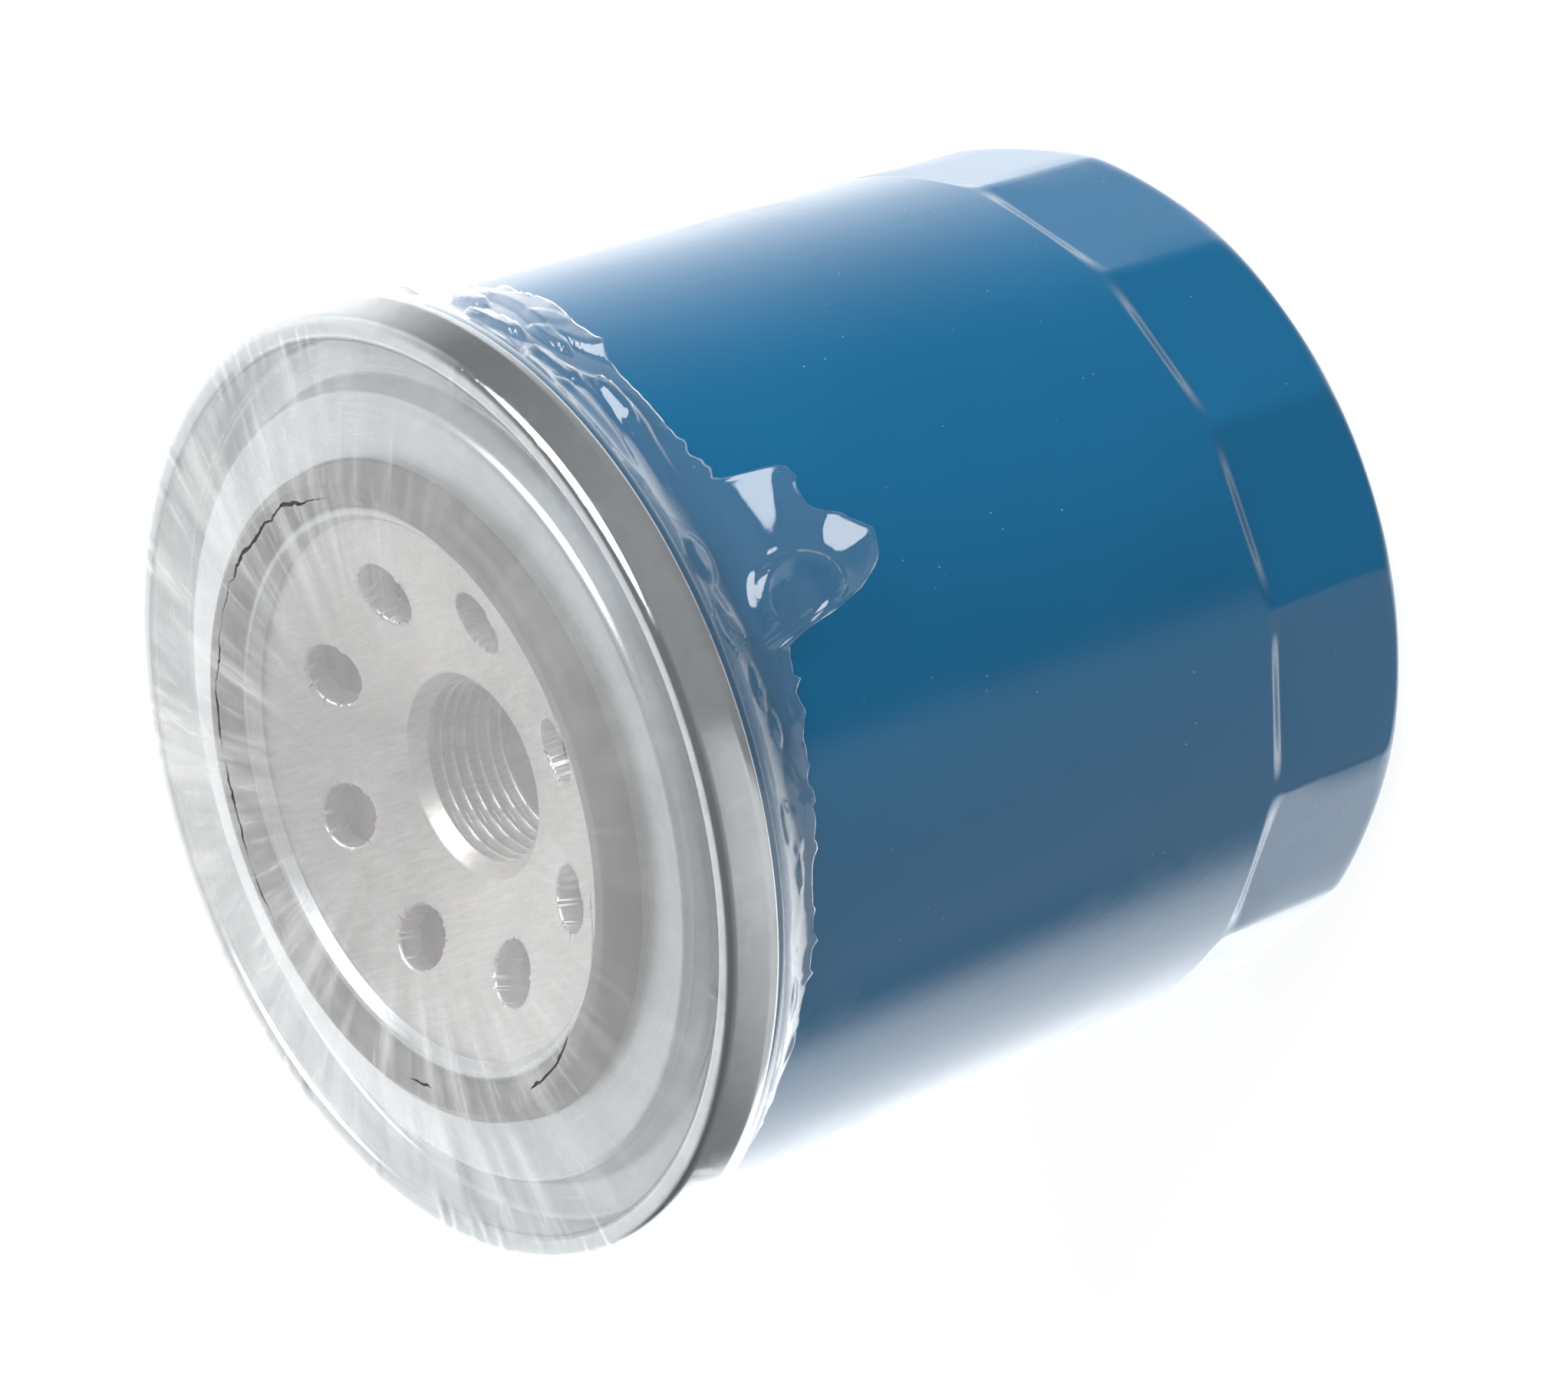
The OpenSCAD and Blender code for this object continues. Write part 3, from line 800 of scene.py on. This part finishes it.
class OILFILTER_OT_base_plate(bpy.types.Operator):
    """Makes the dished base plate with its oil inlets and its threaded hub"""

    bl_idname = "oilfilter.base_plate"
    bl_label = "Base plate"

    columns = 128
    ring_in, ring_out = 13.6, 25.4  # the ring with the oil inlets

    def execute(self, context):
        sizes = context.scene.filter_sizes
        bm = bmesh.new()
        self.hub(bm, sizes)
        self.rim(bm)
        self.ring_of_holes(bm, sizes)
        steel = plate_steel(context.scene.filter_colours.steel)
        finish_piece(bm, "pressed_base_plate", "housing", ["base_plate"], steel, 40)
        return {"FINISHED"}

    def under(self, radius):
        """Height of the plate's lower face at a radius."""
        return plate_z(radius) - PLATE_T / math.cos(PLATE_SLOPE)

    def hub(self, bm, sizes):
        """The collar that carries the internal thread."""
        minor, major = sizes.thread_minor / MM, sizes.thread_major / MM
        pitch = sizes.thread_pitch / MM
        thread_top = MOUTH_Z - (MOUTH_R - minor)
        thread_bottom = HUB_BOTTOM + 1.0
        mouth = rounded(
            [
                (self.ring_in, plate_z(self.ring_in)),
                (MOUTH_R, MOUTH_Z, 0.8),
                (minor, thread_top, 0.3),
                (minor, thread_top - 1),
            ],
            steps=6,
        )
        wall = [Vector((minor, thread_top - 0.35)), Vector((minor, thread_bottom))]
        low = rounded(
            [
                (minor + 1.0, HUB_BOTTOM),
                (HUB_R, HUB_BOTTOM, 0.6),
                (HUB_R, self.under(HUB_R), 0.6),
                (self.ring_in, self.under(self.ring_in)),
            ]
        )
        verts = spun(bm, mouth[:-1] + finer(wall, 0.1) + low, self.columns)
        for v in verts:
            radius, height = math.hypot(v.co.x, v.co.y) / MM, v.co.z / MM - SHOULDER
            if radius > minor + 0.02 or height > thread_top or height < thread_bottom - 0.01:
                continue
            turns = height / pitch - math.atan2(v.co.y, v.co.x) / FULL_TURN
            fade = smooth_step(thread_top + 0.1, thread_top - 0.9, height)
            fade *= smooth_step(thread_bottom - 0.2, thread_bottom + 0.9, height)
            new = minor + (major - minor) * thread_depth(turns) * fade
            v.co.x *= new / radius
            v.co.y *= new / radius

    def rim(self, bm):
        """The plate's outer part, raised under the lid's lip and flat under the gasket channel."""
        outline = rounded(
            [
                (self.ring_out, plate_z(self.ring_out)),
                (RIM_IN, plate_z(RIM_IN), 0.5),
                (RIM_IN, RIM_TOP, 0.0),
                (RIM_OUT, RIM_TOP, 0.4),
                (RIM_OUT, RIM_BOTTOM, 0.4),
                (RIM_IN - 1.0, RIM_BOTTOM, 0.5),
                (self.ring_out, self.under(self.ring_out)),
            ]
        )
        spun(bm, outline, self.columns)

    def ring_of_holes(self, bm, sizes):
        """The sloping ring between hub and rim, pierced by the inlets."""
        inlets = sizes.inlets
        per_side = self.columns // inlets
        centre, hole_r = sizes.inlet_circle / MM, sizes.inlet_radius / MM
        half = math.pi / inlets
        old_faces = set(bm.faces)
        for k in range(inlets):
            turn = Matrix.Rotation(k * 2 * half, 4, "Z")
            frame_points = self.sector(half, per_side)
            hole_points = []
            for p in frame_points:
                bearing = math.atan2(p.y, p.x - centre)
                x, y = centre + hole_r * math.cos(bearing), hole_r * math.sin(bearing)
                hole_points.append(Vector((x, y, 0)))
            loops = [self.loop(bm, points, turn) for points in (frame_points, hole_points)]
            made = bmesh.ops.bridge_loops(bm, edges=loops[0] + loops[1])
            rungs = [e for e in made["edges"] if e not in loops[0] and e not in loops[1]]
            bmesh.ops.subdivide_edges(bm, edges=rungs, cuts=4, use_grid_fill=True)
        faces = [f for f in bm.faces if f not in old_faces]
        verts = list(dict.fromkeys(v for f in faces for v in f.verts))
        bmesh.ops.remove_doubles(bm, verts=verts, dist=1e-6)
        faces = [f for f in bm.faces if f not in old_faces]
        verts = list(dict.fromkeys(v for f in faces for v in f.verts))
        for v in verts:
            v.co.z = (SHOULDER + plate_z(math.hypot(v.co.x, v.co.y) / MM)) * MM
        self.thicken(bm, faces)
        edges = [e for e in bm.edges if e.is_valid and self.is_hole_edge(e)]
        bmesh.ops.bevel(
            bm,
            geom=edges,
            offset=0.35 * MM,
            offset_type="OFFSET",
            segments=3,
            profile=0.5,
            affect="EDGES",
            material=-1,
        )

    def sector(self, half, per_side):
        """The outline of one hole's share of the ring."""
        points = []
        for i in range(per_side):
            points.append((self.ring_out, -half + 2 * half * i / per_side))
        for i in range(per_side):
            points.append((self.ring_out + (self.ring_in - self.ring_out) * i / per_side, half))
        for i in range(per_side):
            points.append((self.ring_in, half - 2 * half * i / per_side))
        for i in range(per_side):
            points.append((self.ring_in + (self.ring_out - self.ring_in) * i / per_side, -half))
        return [Vector((r * math.cos(a), r * math.sin(a), 0)) for r, a in points]

    def loop(self, bm, points, turn):
        """A closed loop of new edges through turned points."""
        verts = [bm.verts.new(turn @ (p * MM)) for p in points]
        return [bm.edges.new((a, b)) for a, b in zip(verts, verts[1:] + verts[:1])]

    def thicken(self, bm, faces):
        """Gives the ring its thickness, square to its slope."""
        made = bmesh.ops.extrude_face_region(bm, geom=faces, use_keep_orig=True)["geom"]
        for v in (g for g in made if isinstance(g, bmesh.types.BMVert)):
            out = Vector((v.co.x, v.co.y, 0)).normalized()
            normal = Vector((0, 0, math.cos(PLATE_SLOPE))) - out * math.sin(PLATE_SLOPE)
            v.co -= normal * PLATE_T * MM

    def is_hole_edge(self, edge):
        """True for an edge on the rim of an inlet."""
        if len(edge.link_faces) != 2 or edge.calc_face_angle(0) < math.radians(60):
            return False
        low, high = self.ring_in + 0.8, self.ring_out - 0.8
        return all(low < math.hypot(v.co.x, v.co.y) / MM < high for v in edge.verts)


# The dust film


class OILFILTER_OT_dust_film(bpy.types.Operator):
    """Makes the clear film shrunk over the threaded end, with its wrinkled skirt and loose flap"""

    bl_idname = "oilfilter.dust_film"
    bl_label = "Dust film"

    columns = 560
    skirt_rows = 34
    tuck = -4.05  # where the skirt begins, below the seam
    gap = 0.16  # between the skirt and the can
    cone = 5.5  # how far down the film reaches from the seam to the can

    proud_of_seam = 0.09

    # The loose flap: its two lobes as (angle, half width, soft edge, length),
    # and the pinched ring that its folds spread from
    lobes = ((-166.2, 9.0, 1.9, 5.6), (-170.0, 4.2, 3.4, 3.9))
    ring_angle, ring_height, ring_radius = -172.2, -14.8, 3.4

    # Trapped air: angle, height, half width, half height and how proud each blister is
    blisters = (
        (-164.4, -7.4, 2.6, 1.5, 0.55),
        (-133.0, -8.4, 4.2, 1.0, 0.7),
        (-141.5, -10.2, 3.6, 0.9, 0.8),
        (-121.0, -9.0, 5.0, 1.2, 0.9),
        (-112.0, -11.6, 3.0, 1.3, 0.8),
        (-127.5, -11.4, 3.4, 0.9, 0.7),
        (180.0, -7.8, 1.9, 0.6, 0.4),
        (175.0, -8.6, 1.5, 0.6, 0.4),
        (166.5, -10.9, 1.1, 0.9, 0.6),
        (158.0, -8.2, 1.4, 0.5, 0.3),
        (-105.0, -8.0, 5.0, 1.0, 0.7),
    )

    def execute(self, context):
        sizes = context.scene.filter_sizes
        bm = bmesh.new()
        verts = spun(bm, self.outline(), self.columns, closed=False)
        for v in verts:
            self.shape(v)
        piece = finish_piece(bm, "dust_film", "film", ["shrink_film"], clear_film(), 180)
        thicken = piece.modifiers.new("Thickness", "SOLIDIFY")
        thicken.thickness = sizes.film
        thicken.offset = 1
        return {"FINISHED"}

    def outline(self):
        """The film's section before it is wrinkled: over the gasket, the seam and down the can."""
        edge = SEAM_R + self.proud_of_seam
        taut = rounded(
            [
                (0, 3.17),
                (29.0, 3.19),
                (31.9, 3.19, 0.6),
                (CAN_R - 0.9, 1.3, 0.5),
                (CAN_R + 1.3, 1.22, 1.2),
                (edge, -2.55, 0.9),
                (edge, self.tuck),
            ],
            steps=4,
        )
        face = [p for p in finer(taut, 1.2) if p.x > 20 or p.x % 5 < 1.2]
        return face + [Vector((edge, self.tuck - i)) for i in range(1, self.skirt_rows + 1)]

    def skirt_length(self, angle):
        """Length of the skirt below the seam: longest on one side, a little ragged, with one long flap."""
        length = 7.2 + 5.4 * math.cos(around(angle, -99))
        length -= 1.9 * bump(around(angle, -140), 0, math.radians(18))
        where = Vector((math.cos(angle), math.sin(angle), 0))
        length += 0.5 * noise.noise(where * 7) + 0.25 * noise.noise(where * 24)
        torn = smooth_step(-0.1, 0.7, math.cos(around(angle, 140)))
        length += torn * 1.8 * max(0, noise.noise(where * 34)) ** 1.5
        for bearing, width, soft, reach in self.lobes:
            off_centre = abs(math.degrees(around(angle, bearing)))
            length += reach * smooth_step(width + soft, width - soft, off_centre)
        return length

    def shape(self, v):
        """Moves one vertex from the plain spun film to its wrinkled place."""
        angle = math.atan2(v.co.y, v.co.x)
        radius, height = math.hypot(v.co.x, v.co.y) / MM, v.co.z / MM - SHOULDER
        if height < self.tuck - 0.01:
            height, radius = self.skirt_point(angle, (self.tuck - height) / self.skirt_rows)
        else:
            proud = self.face_wave(angle, radius) + self.crease(angle, radius)
            outward = smooth_step(CAN_R - 2, SEAM_R, radius)
            radius += proud * outward
            height += proud * (1 - 0.7 * outward)
        v.co = Vector((radius * math.cos(angle), radius * math.sin(angle), height + SHOULDER)) * MM

    def face_wave(self, angle, radius):
        """Shallow radial tension waves over the gasket and out to the seam."""
        where = Vector((math.cos(angle), math.sin(angle), 0))
        uneven = 0.45 + 0.55 * smooth_step(-0.7, 0.3, math.cos(angle))
        span = smooth_step(31.5, 36, radius) * (1 - smooth_step(41.5, 45.2, radius))
        inner = smooth_step(12, 24, radius) * (1 - smooth_step(29, 32.5, radius))
        slow = noise.noise(where * 6 + Vector((0, 0, radius * 0.04)))
        quick = noise.noise(where * 16 + Vector((4, 0, radius * 0.02)))
        return (0.15 * span + 0.08 * inner) * (0.9 * slow + 0.45 * quick) * uneven

    def crease(self, angle, radius):
        """Small pinched ticks where the film turns over the seam."""
        where = Vector((math.cos(angle), math.sin(angle), 0))
        reach = bump(radius, CAN_R - 0.4, 1.7)
        line = max(0, 1 - abs(noise.noise(where * 22 + Vector((0, 0, radius * 0.06)))) / 0.08)
        wanted = smooth_step(-0.08, 0.14, noise.noise(where * 5 + Vector((3, 1, 5))))
        return 0.3 * reach * line * wanted

    def skirt_point(self, angle, share):
        """Height and radius of a point some share of the way down the skirt."""
        down = self.skirt_length(angle) * share
        height = self.tuck - down
        clear = CAN_R + self.gap
        radius = clear + (SEAM_R + self.proud_of_seam - clear) * max(0, 1 - down / self.cone) ** 1.5
        at = Vector((math.cos(angle) * CAN_R, math.sin(angle) * CAN_R, height))
        long_side = smooth_step(-0.2, 0.9, math.cos(around(angle, -118)))
        near_flap = bump(around(angle, -160), 0, math.radians(15))
        loose = smooth_step(1.0, 3.0, down) * (1 - 0.95 * near_flap)
        wide = smooth_step(0.08, 0.3, noise.noise(Vector((at.x * 0.09, at.y * 0.09, at.z * 0.36))))
        small = smooth_step(0.2, 0.42, noise.noise(Vector((at.x * 0.2, at.y * 0.2, at.z * 0.42 + 9))))
        radius += loose * (0.7 * long_side * wide + 0.18 * small)
        radius += smooth_step(0.8, 1.0, share) * 0.9 * max(0, noise.noise(at * 0.21 + Vector((7, 7, 0))))
        for bearing, level, width, tall, proud in self.blisters:
            across = around(angle, bearing) * CAN_R / width
            distance = math.hypot(across, (height - level) / tall)
            radius += proud * (1 - smooth_step(0.72, 1.0, distance))
        return height, radius + self.flap_lift(angle, height)

    def flap_lift(self, angle, height):
        """How far the loose flap and its folds stand off the can."""
        across = around(angle, self.ring_angle) * CAN_R
        up = height - self.ring_height
        distance = math.hypot(across, up)
        window = math.exp(-((around(angle, -165) / math.radians(13)) ** 4))
        lifted = window * smooth_step(10, 25, -height)
        turn = math.atan2(up, across) / FULL_TURN * 6 + 0.2
        fold = abs((turn % 1) * 2 - 1) - 0.5
        outside_ring = smooth_step(self.ring_radius, self.ring_radius + 2.5, distance)
        ring = 1.6 * bump(distance, self.ring_radius, 0.6)
        return window * ring + lifted * (5.8 + 0.22 * distance * fold * outside_ring)


# The parts inside


def heights(node):
    """The lowest and highest height of a part, above the closed end and in millimetres."""
    return [corner[2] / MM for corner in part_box(node)]


class OILFILTER_OT_anti_drain_valve(bpy.types.Operator):
    """Makes the rubber valve behind the oil inlets"""

    bl_idname = "oilfilter.anti_drain_valve"
    bl_label = "Anti-drain valve"

    def execute(self, context):
        section = rounded(
            [
                (12.9, -8.6, 0.3),
                (15.0, -8.0, 0.5),
                (15.0, -11.5, 0.9),
                (32.4, -5.7, 0.2),
                (33.0, -5.7, 0.2),
                (33.0, -6.6, 0.3),
                (15.0, -13.0, 0.9),
                (15.0, -17.0, 0.4),
                (12.9, -17.0, 0.3),
            ],
            True,
        )
        red = rubber("Valve rubber", (0.26, 0.055, 0.022), 0.2)
        lathed("anti_drain_flap", "housing", ["anti_drain_valve"], red, section)
        return {"FINISHED"}


class OILFILTER_OT_end_caps(bpy.types.Operator):
    """Makes the element's two end caps and the adhesive in them"""

    bl_idname = "oilfilter.end_caps"
    bl_label = "End caps"

    sheet = 0.59
    clear_of_cap = 0.55  # how far the adhesive keeps from the cap's bead

    def execute(self, context):
        steel = tin_plate("End cap sheet", (0.66, 0.67, 0.68), 0.32)
        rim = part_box("upper_end_cap")[1][0] / MM
        low, high = heights("upper_end_cap")
        face = high - 4.6
        bead = [(20, face, 2), (23, face - 0.5, 2), (36, face - 0.5, 2), (38.5, face, 2)]
        path = rounded([(15.9, high), (15.9, face, 1.0), *bead, (rim, face, 0.9), (rim, low)])
        self.cap("neck_cap", "upper_end_cap", steel, path)
        low, high = heights("lower_end_cap")
        bead = [(38.5, low, 2), (36, low + 0.5, 2), (23, low + 0.5, 2), (20, low, 2)]
        path = rounded([(rim, high), (rim, low, 0.9), *bead, (10.0, low)])
        self.cap("valve_cap", "lower_end_cap", steel, path)
        glue = cured_adhesive((0.62, 0.5, 0.28))
        bottom, top = heights("upper_cap_adhesive")
        self.adhesive("upper_adhesive", "upper_cap_adhesive", glue, bottom, top - self.clear_of_cap)
        bottom, top = heights("lower_cap_adhesive")
        self.adhesive("lower_adhesive", "lower_cap_adhesive", glue, bottom + self.clear_of_cap, top)
        return {"FINISHED"}

    def cap(self, name, node, steel, path):
        """A pressed sheet cap of the element."""
        lathed(name, "element", [node], steel, sheet_outline(path, self.sheet), base=0)

    def adhesive(self, name, node, glue, bottom, top):
        """The ring of adhesive in a cap, with the paper's ends in it."""
        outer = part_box(node)[1][0] / MM
        ring = rectangle(16.4, outer, bottom, top, 0.3)
        lathed(name, "element", [node], glue, ring, base=0)


def coil(name, body, node, metal, low_r, high_r, wire, turns, steps=48):
    """A round-wire coil spring, made by spinning its wire section. The wire's size is its radius."""
    low, high = heights(node)
    bottom, top = low + wire, high - wire
    bm = bmesh.new()
    made = bmesh.ops.create_circle(bm, cap_ends=True, segments=16, radius=wire * MM)
    verts = made["verts"]
    bmesh.ops.rotate(bm, verts=verts, cent=(0, 0, 0), matrix=Matrix.Rotation(math.pi / 2, 3, "X"))
    bmesh.ops.translate(bm, verts=verts, vec=(low_r * MM, 0, bottom * MM))
    count = round(turns * steps)
    bmesh.ops.spin(
        bm,
        geom=[*verts, *bm.edges, *bm.faces],
        cent=(0, 0, 0),
        axis=(0, 0, 1),
        dvec=(0, 0, (top - bottom) * MM / count),
        angle=FULL_TURN * turns,
        steps=count,
        use_merge=False,
    )
    bmesh.ops.remove_doubles(bm, verts=bm.verts, dist=TOUCHING)
    for v in bm.verts:
        share = min(max((v.co.z / MM - bottom) / (top - bottom), 0), 1)
        grown = (high_r - low_r) * share * MM
        out = Vector((v.co.x, v.co.y, 0)).normalized()
        v.co += out * grown
    return finish_piece(bm, name, body, [node], metal, 60)


class OILFILTER_OT_springs(bpy.types.Operator):
    """Makes the hold-down spring and the bypass valve's spring"""

    bl_idname = "oilfilter.springs"
    bl_label = "Springs"

    element_travel = 1.5  # how far the element can be pressed down
    poppet_travel = 4.0

    def execute(self, context):
        metal = tin_plate("Spring wire", (0.42, 0.42, 0.43), 0.25)
        hold = coil("hold_down_coil", "housing", "hold_down_spring", metal, 24, 16, wire=0.9, turns=2.5)
        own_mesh(hold)
        inner = coil("bypass_coil", "element", "bypass_spring", metal, 6, 6, wire=0.6, turns=5)
        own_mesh(inner)
        return {"FINISHED"}


class OILFILTER_OT_inner_finishes(bpy.types.Operator):
    """Gives the remaining inner parts their finishes"""

    bl_idname = "oilfilter.inner_finishes"
    bl_label = "Inner finishes"

    def execute(self, context):
        pressed = tin_plate("Pressed valve steel", (0.58, 0.59, 0.6), 0.3)
        tube = tin_plate("Tube steel", (0.62, 0.63, 0.64), 0.38)
        paper = filter_paper(context.scene.filter_colours.paper)
        seal = rubber("Valve seal rubber", (0.03, 0.035, 0.033), 0.1)
        finishes = {
            "centre_tube": tube,
            "filter_media": paper,
            "media_seam_clip": tube,
            "bypass_seat": pressed,
            "bypass_seal": seal,
            "bypass_poppet": pressed,
            "bypass_cage": pressed,
        }
        for node, material in finishes.items():
            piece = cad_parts[node]
            piece.data.materials.clear()
            piece.data.materials.append(material)
        return {"FINISHED"}


# The stage


class OILFILTER_OT_stage(bpy.types.Operator):
    """Makes the pale floor, the soft light and the camera"""

    bl_idname = "oilfilter.stage"
    bl_label = "Stage"

    def execute(self, context):
        settings = context.scene.filter_stage
        turned = self.camera(context, settings)
        self.floor()
        self.studio(context, [turned @ Vector(axis) for axis in ((0, 0, 1), (0, 1, 0), (1, 0, 0))])
        context.scene.view_settings.view_transform = "Standard"
        return {"FINISHED"}

    def camera(self, context, settings):
        """The camera. Returns how it is turned, which the studio's panels follow."""
        toward = Vector(
            (
                math.cos(settings.elevation) * math.cos(settings.azimuth),
                math.cos(settings.elevation) * math.sin(settings.azimuth),
                math.sin(settings.elevation),
            )
        )
        data = bpy.data.cameras.new("Camera")
        data.lens = settings.lens
        data.sensor_width = 36
        data.clip_start = 0.01
        camera = bpy.data.objects.new("Camera", data)
        bpy.context.collection.objects.link(camera)
        level = toward.to_track_quat("Z", "Y").to_matrix().to_4x4()
        turned = level @ Matrix.Rotation(-settings.roll, 4, "Z")
        camera.matrix_world = Matrix.Translation(Vector(settings.aim) + toward * settings.distance) @ turned
        context.scene.camera = camera
        return turned.to_3x3()

    def floor(self):
        """A pale floor with a faint shadow. Only the camera sees it, so the studio lights from below too."""
        bm = bmesh.new()
        bmesh.ops.create_circle(bm, cap_ends=True, segments=96, radius=3.0)
        mesh = bpy.data.meshes.new("Floor")
        bm.to_mesh(mesh)
        bm.free()
        floor = bpy.data.objects.new("Floor", mesh)
        bpy.context.collection.objects.link(floor)
        white = (1, 1, 1, 1)
        grey = (0.16, 0.16, 0.16)
        pale, _, _ = finish("Pale floor", grey, roughness=0.9, Emission_Color=white, Emission_Strength=0.93)
        mesh.materials.append(pale)
        floor.visible_diffuse = False
        floor.visible_glossy = False
        floor.visible_transmission = False
        floor.visible_shadow = False

    def studio(self, context, axes):
        """White all round for the camera, and for the object soft panels round a darker front.

        The light of each direction is worked out from how far it points to the camera, up and right.
        """
        world = bpy.data.worlds.new("Studio")
        context.scene.world = world
        world.use_nodes = True
        nodes = Nodes(world.node_tree)
        direction = nodes.add("ShaderNodeTexCoord").outputs["Generated"]
        front, up, right = [self.along(nodes, direction, axis) for axis in axes]
        back = nodes.times(front, -1.0)
        high = nodes.ramp(back, 0.1, 1.0, 0.0, 1.75)
        low = nodes.ramp(back, 0.33, 0.56, 0.0, 2.2)
        is_low = nodes.ramp(up, 0.25, -0.25)
        low = nodes.times(low, nodes.ramp(right, -0.5, -0.85, 1.0, 0.55))
        behind = nodes.plus(nodes.times(high, nodes.rest(is_low)), nodes.times(low, is_low))
        behind = nodes.times(behind, nodes.ramp(back, 0.88, 1.0, 1.0, 0.72))
        card = nodes.times(nodes.ramp(up, 0.12, -0.05), nodes.ramp(right, 0.3, 0.7))
        card = nodes.times(card, nodes.ramp(back, 0.45, 0.2, 0.0, 0.62))
        side = nodes.times(nodes.ramp(right, -0.35, -0.75), nodes.ramp(back, -0.25, 0.2, 0.0, 0.96))
        side = nodes.times(side, nodes.ramp(back, 0.75, 0.3))
        to_key = (axes[0] * 0.65 + axes[1] * 0.52 - axes[2] * 0.48).normalized()
        key = nodes.ramp(self.along(nodes, direction, to_key), 0.89, 0.92, 0.0, 6.3)
        total = nodes.ramp(right, -0.35, 0.35, 0.05, 0.24)
        for part in (behind, card, side, key):
            total = nodes.plus(part, total)
        seen = nodes.add("ShaderNodeLightPath").outputs["Is Camera Ray"]
        strength = nodes.plus(nodes.times(total, nodes.rest(seen)), seen)
        background = world.node_tree.nodes["Background"]
        background.inputs["Color"].default_value = (1, 1, 1, 1)
        nodes.put(background.inputs["Strength"], strength)

    def along(self, nodes, direction, axis):
        """How far a direction points along an axis."""
        dot = nodes.add("ShaderNodeVectorMath")
        dot.operation = "DOT_PRODUCT"
        nodes.put(dot.inputs[0], direction)
        dot.inputs[1].default_value = axis
        return dot.outputs["Value"]


class OILFILTER_PT_panel(bpy.types.Panel):
    """Lists the pieces of the filter"""

    bl_idname = "OILFILTER_PT_panel"
    bl_label = "Oil Filter"
    bl_space_type = "VIEW_3D"
    bl_region_type = "UI"
    bl_category = "Oil Filter"

    def draw(self, context):
        layout = self.layout
        for group_name in GROUPS_OF_SETTINGS:
            settings = getattr(context.scene, group_name)
            box = layout.box()
            for name in settings.bl_rna.properties.keys():
                if name not in ("rna_type", "name"):
                    box.prop(settings, name)
        for operator in PIECES:
            layout.operator(operator.bl_idname)


PIECES = (
    OILFILTER_OT_stage,
    OILFILTER_OT_canister,
    OILFILTER_OT_lid,
    OILFILTER_OT_gasket,
    OILFILTER_OT_base_plate,
    OILFILTER_OT_dust_film,
    OILFILTER_OT_anti_drain_valve,
    OILFILTER_OT_end_caps,
    OILFILTER_OT_springs,
    OILFILTER_OT_inner_finishes,
)
GROUPS_OF_SETTINGS = {
    "filter_sizes": FilterSizes,
    "filter_colours": FilterColours,
    "filter_stage": StageSettings,
}


def register():
    for name, settings in GROUPS_OF_SETTINGS.items():
        bpy.utils.register_class(settings)
        setattr(bpy.types.Scene, name, PointerProperty(type=settings))
    for operator in PIECES:
        bpy.utils.register_class(operator)
    bpy.utils.register_class(OILFILTER_PT_panel)


def unregister():
    bpy.utils.unregister_class(OILFILTER_PT_panel)
    for operator in reversed(PIECES):
        bpy.utils.unregister_class(operator)
    for name, settings in GROUPS_OF_SETTINGS.items():
        delattr(bpy.types.Scene, name)
        bpy.utils.unregister_class(settings)


def main():
    register()
    for operator in PIECES:
        family, name = operator.bl_idname.split(".")
        getattr(getattr(bpy.ops, family), name)()


if __name__ == "__main__":
    main()
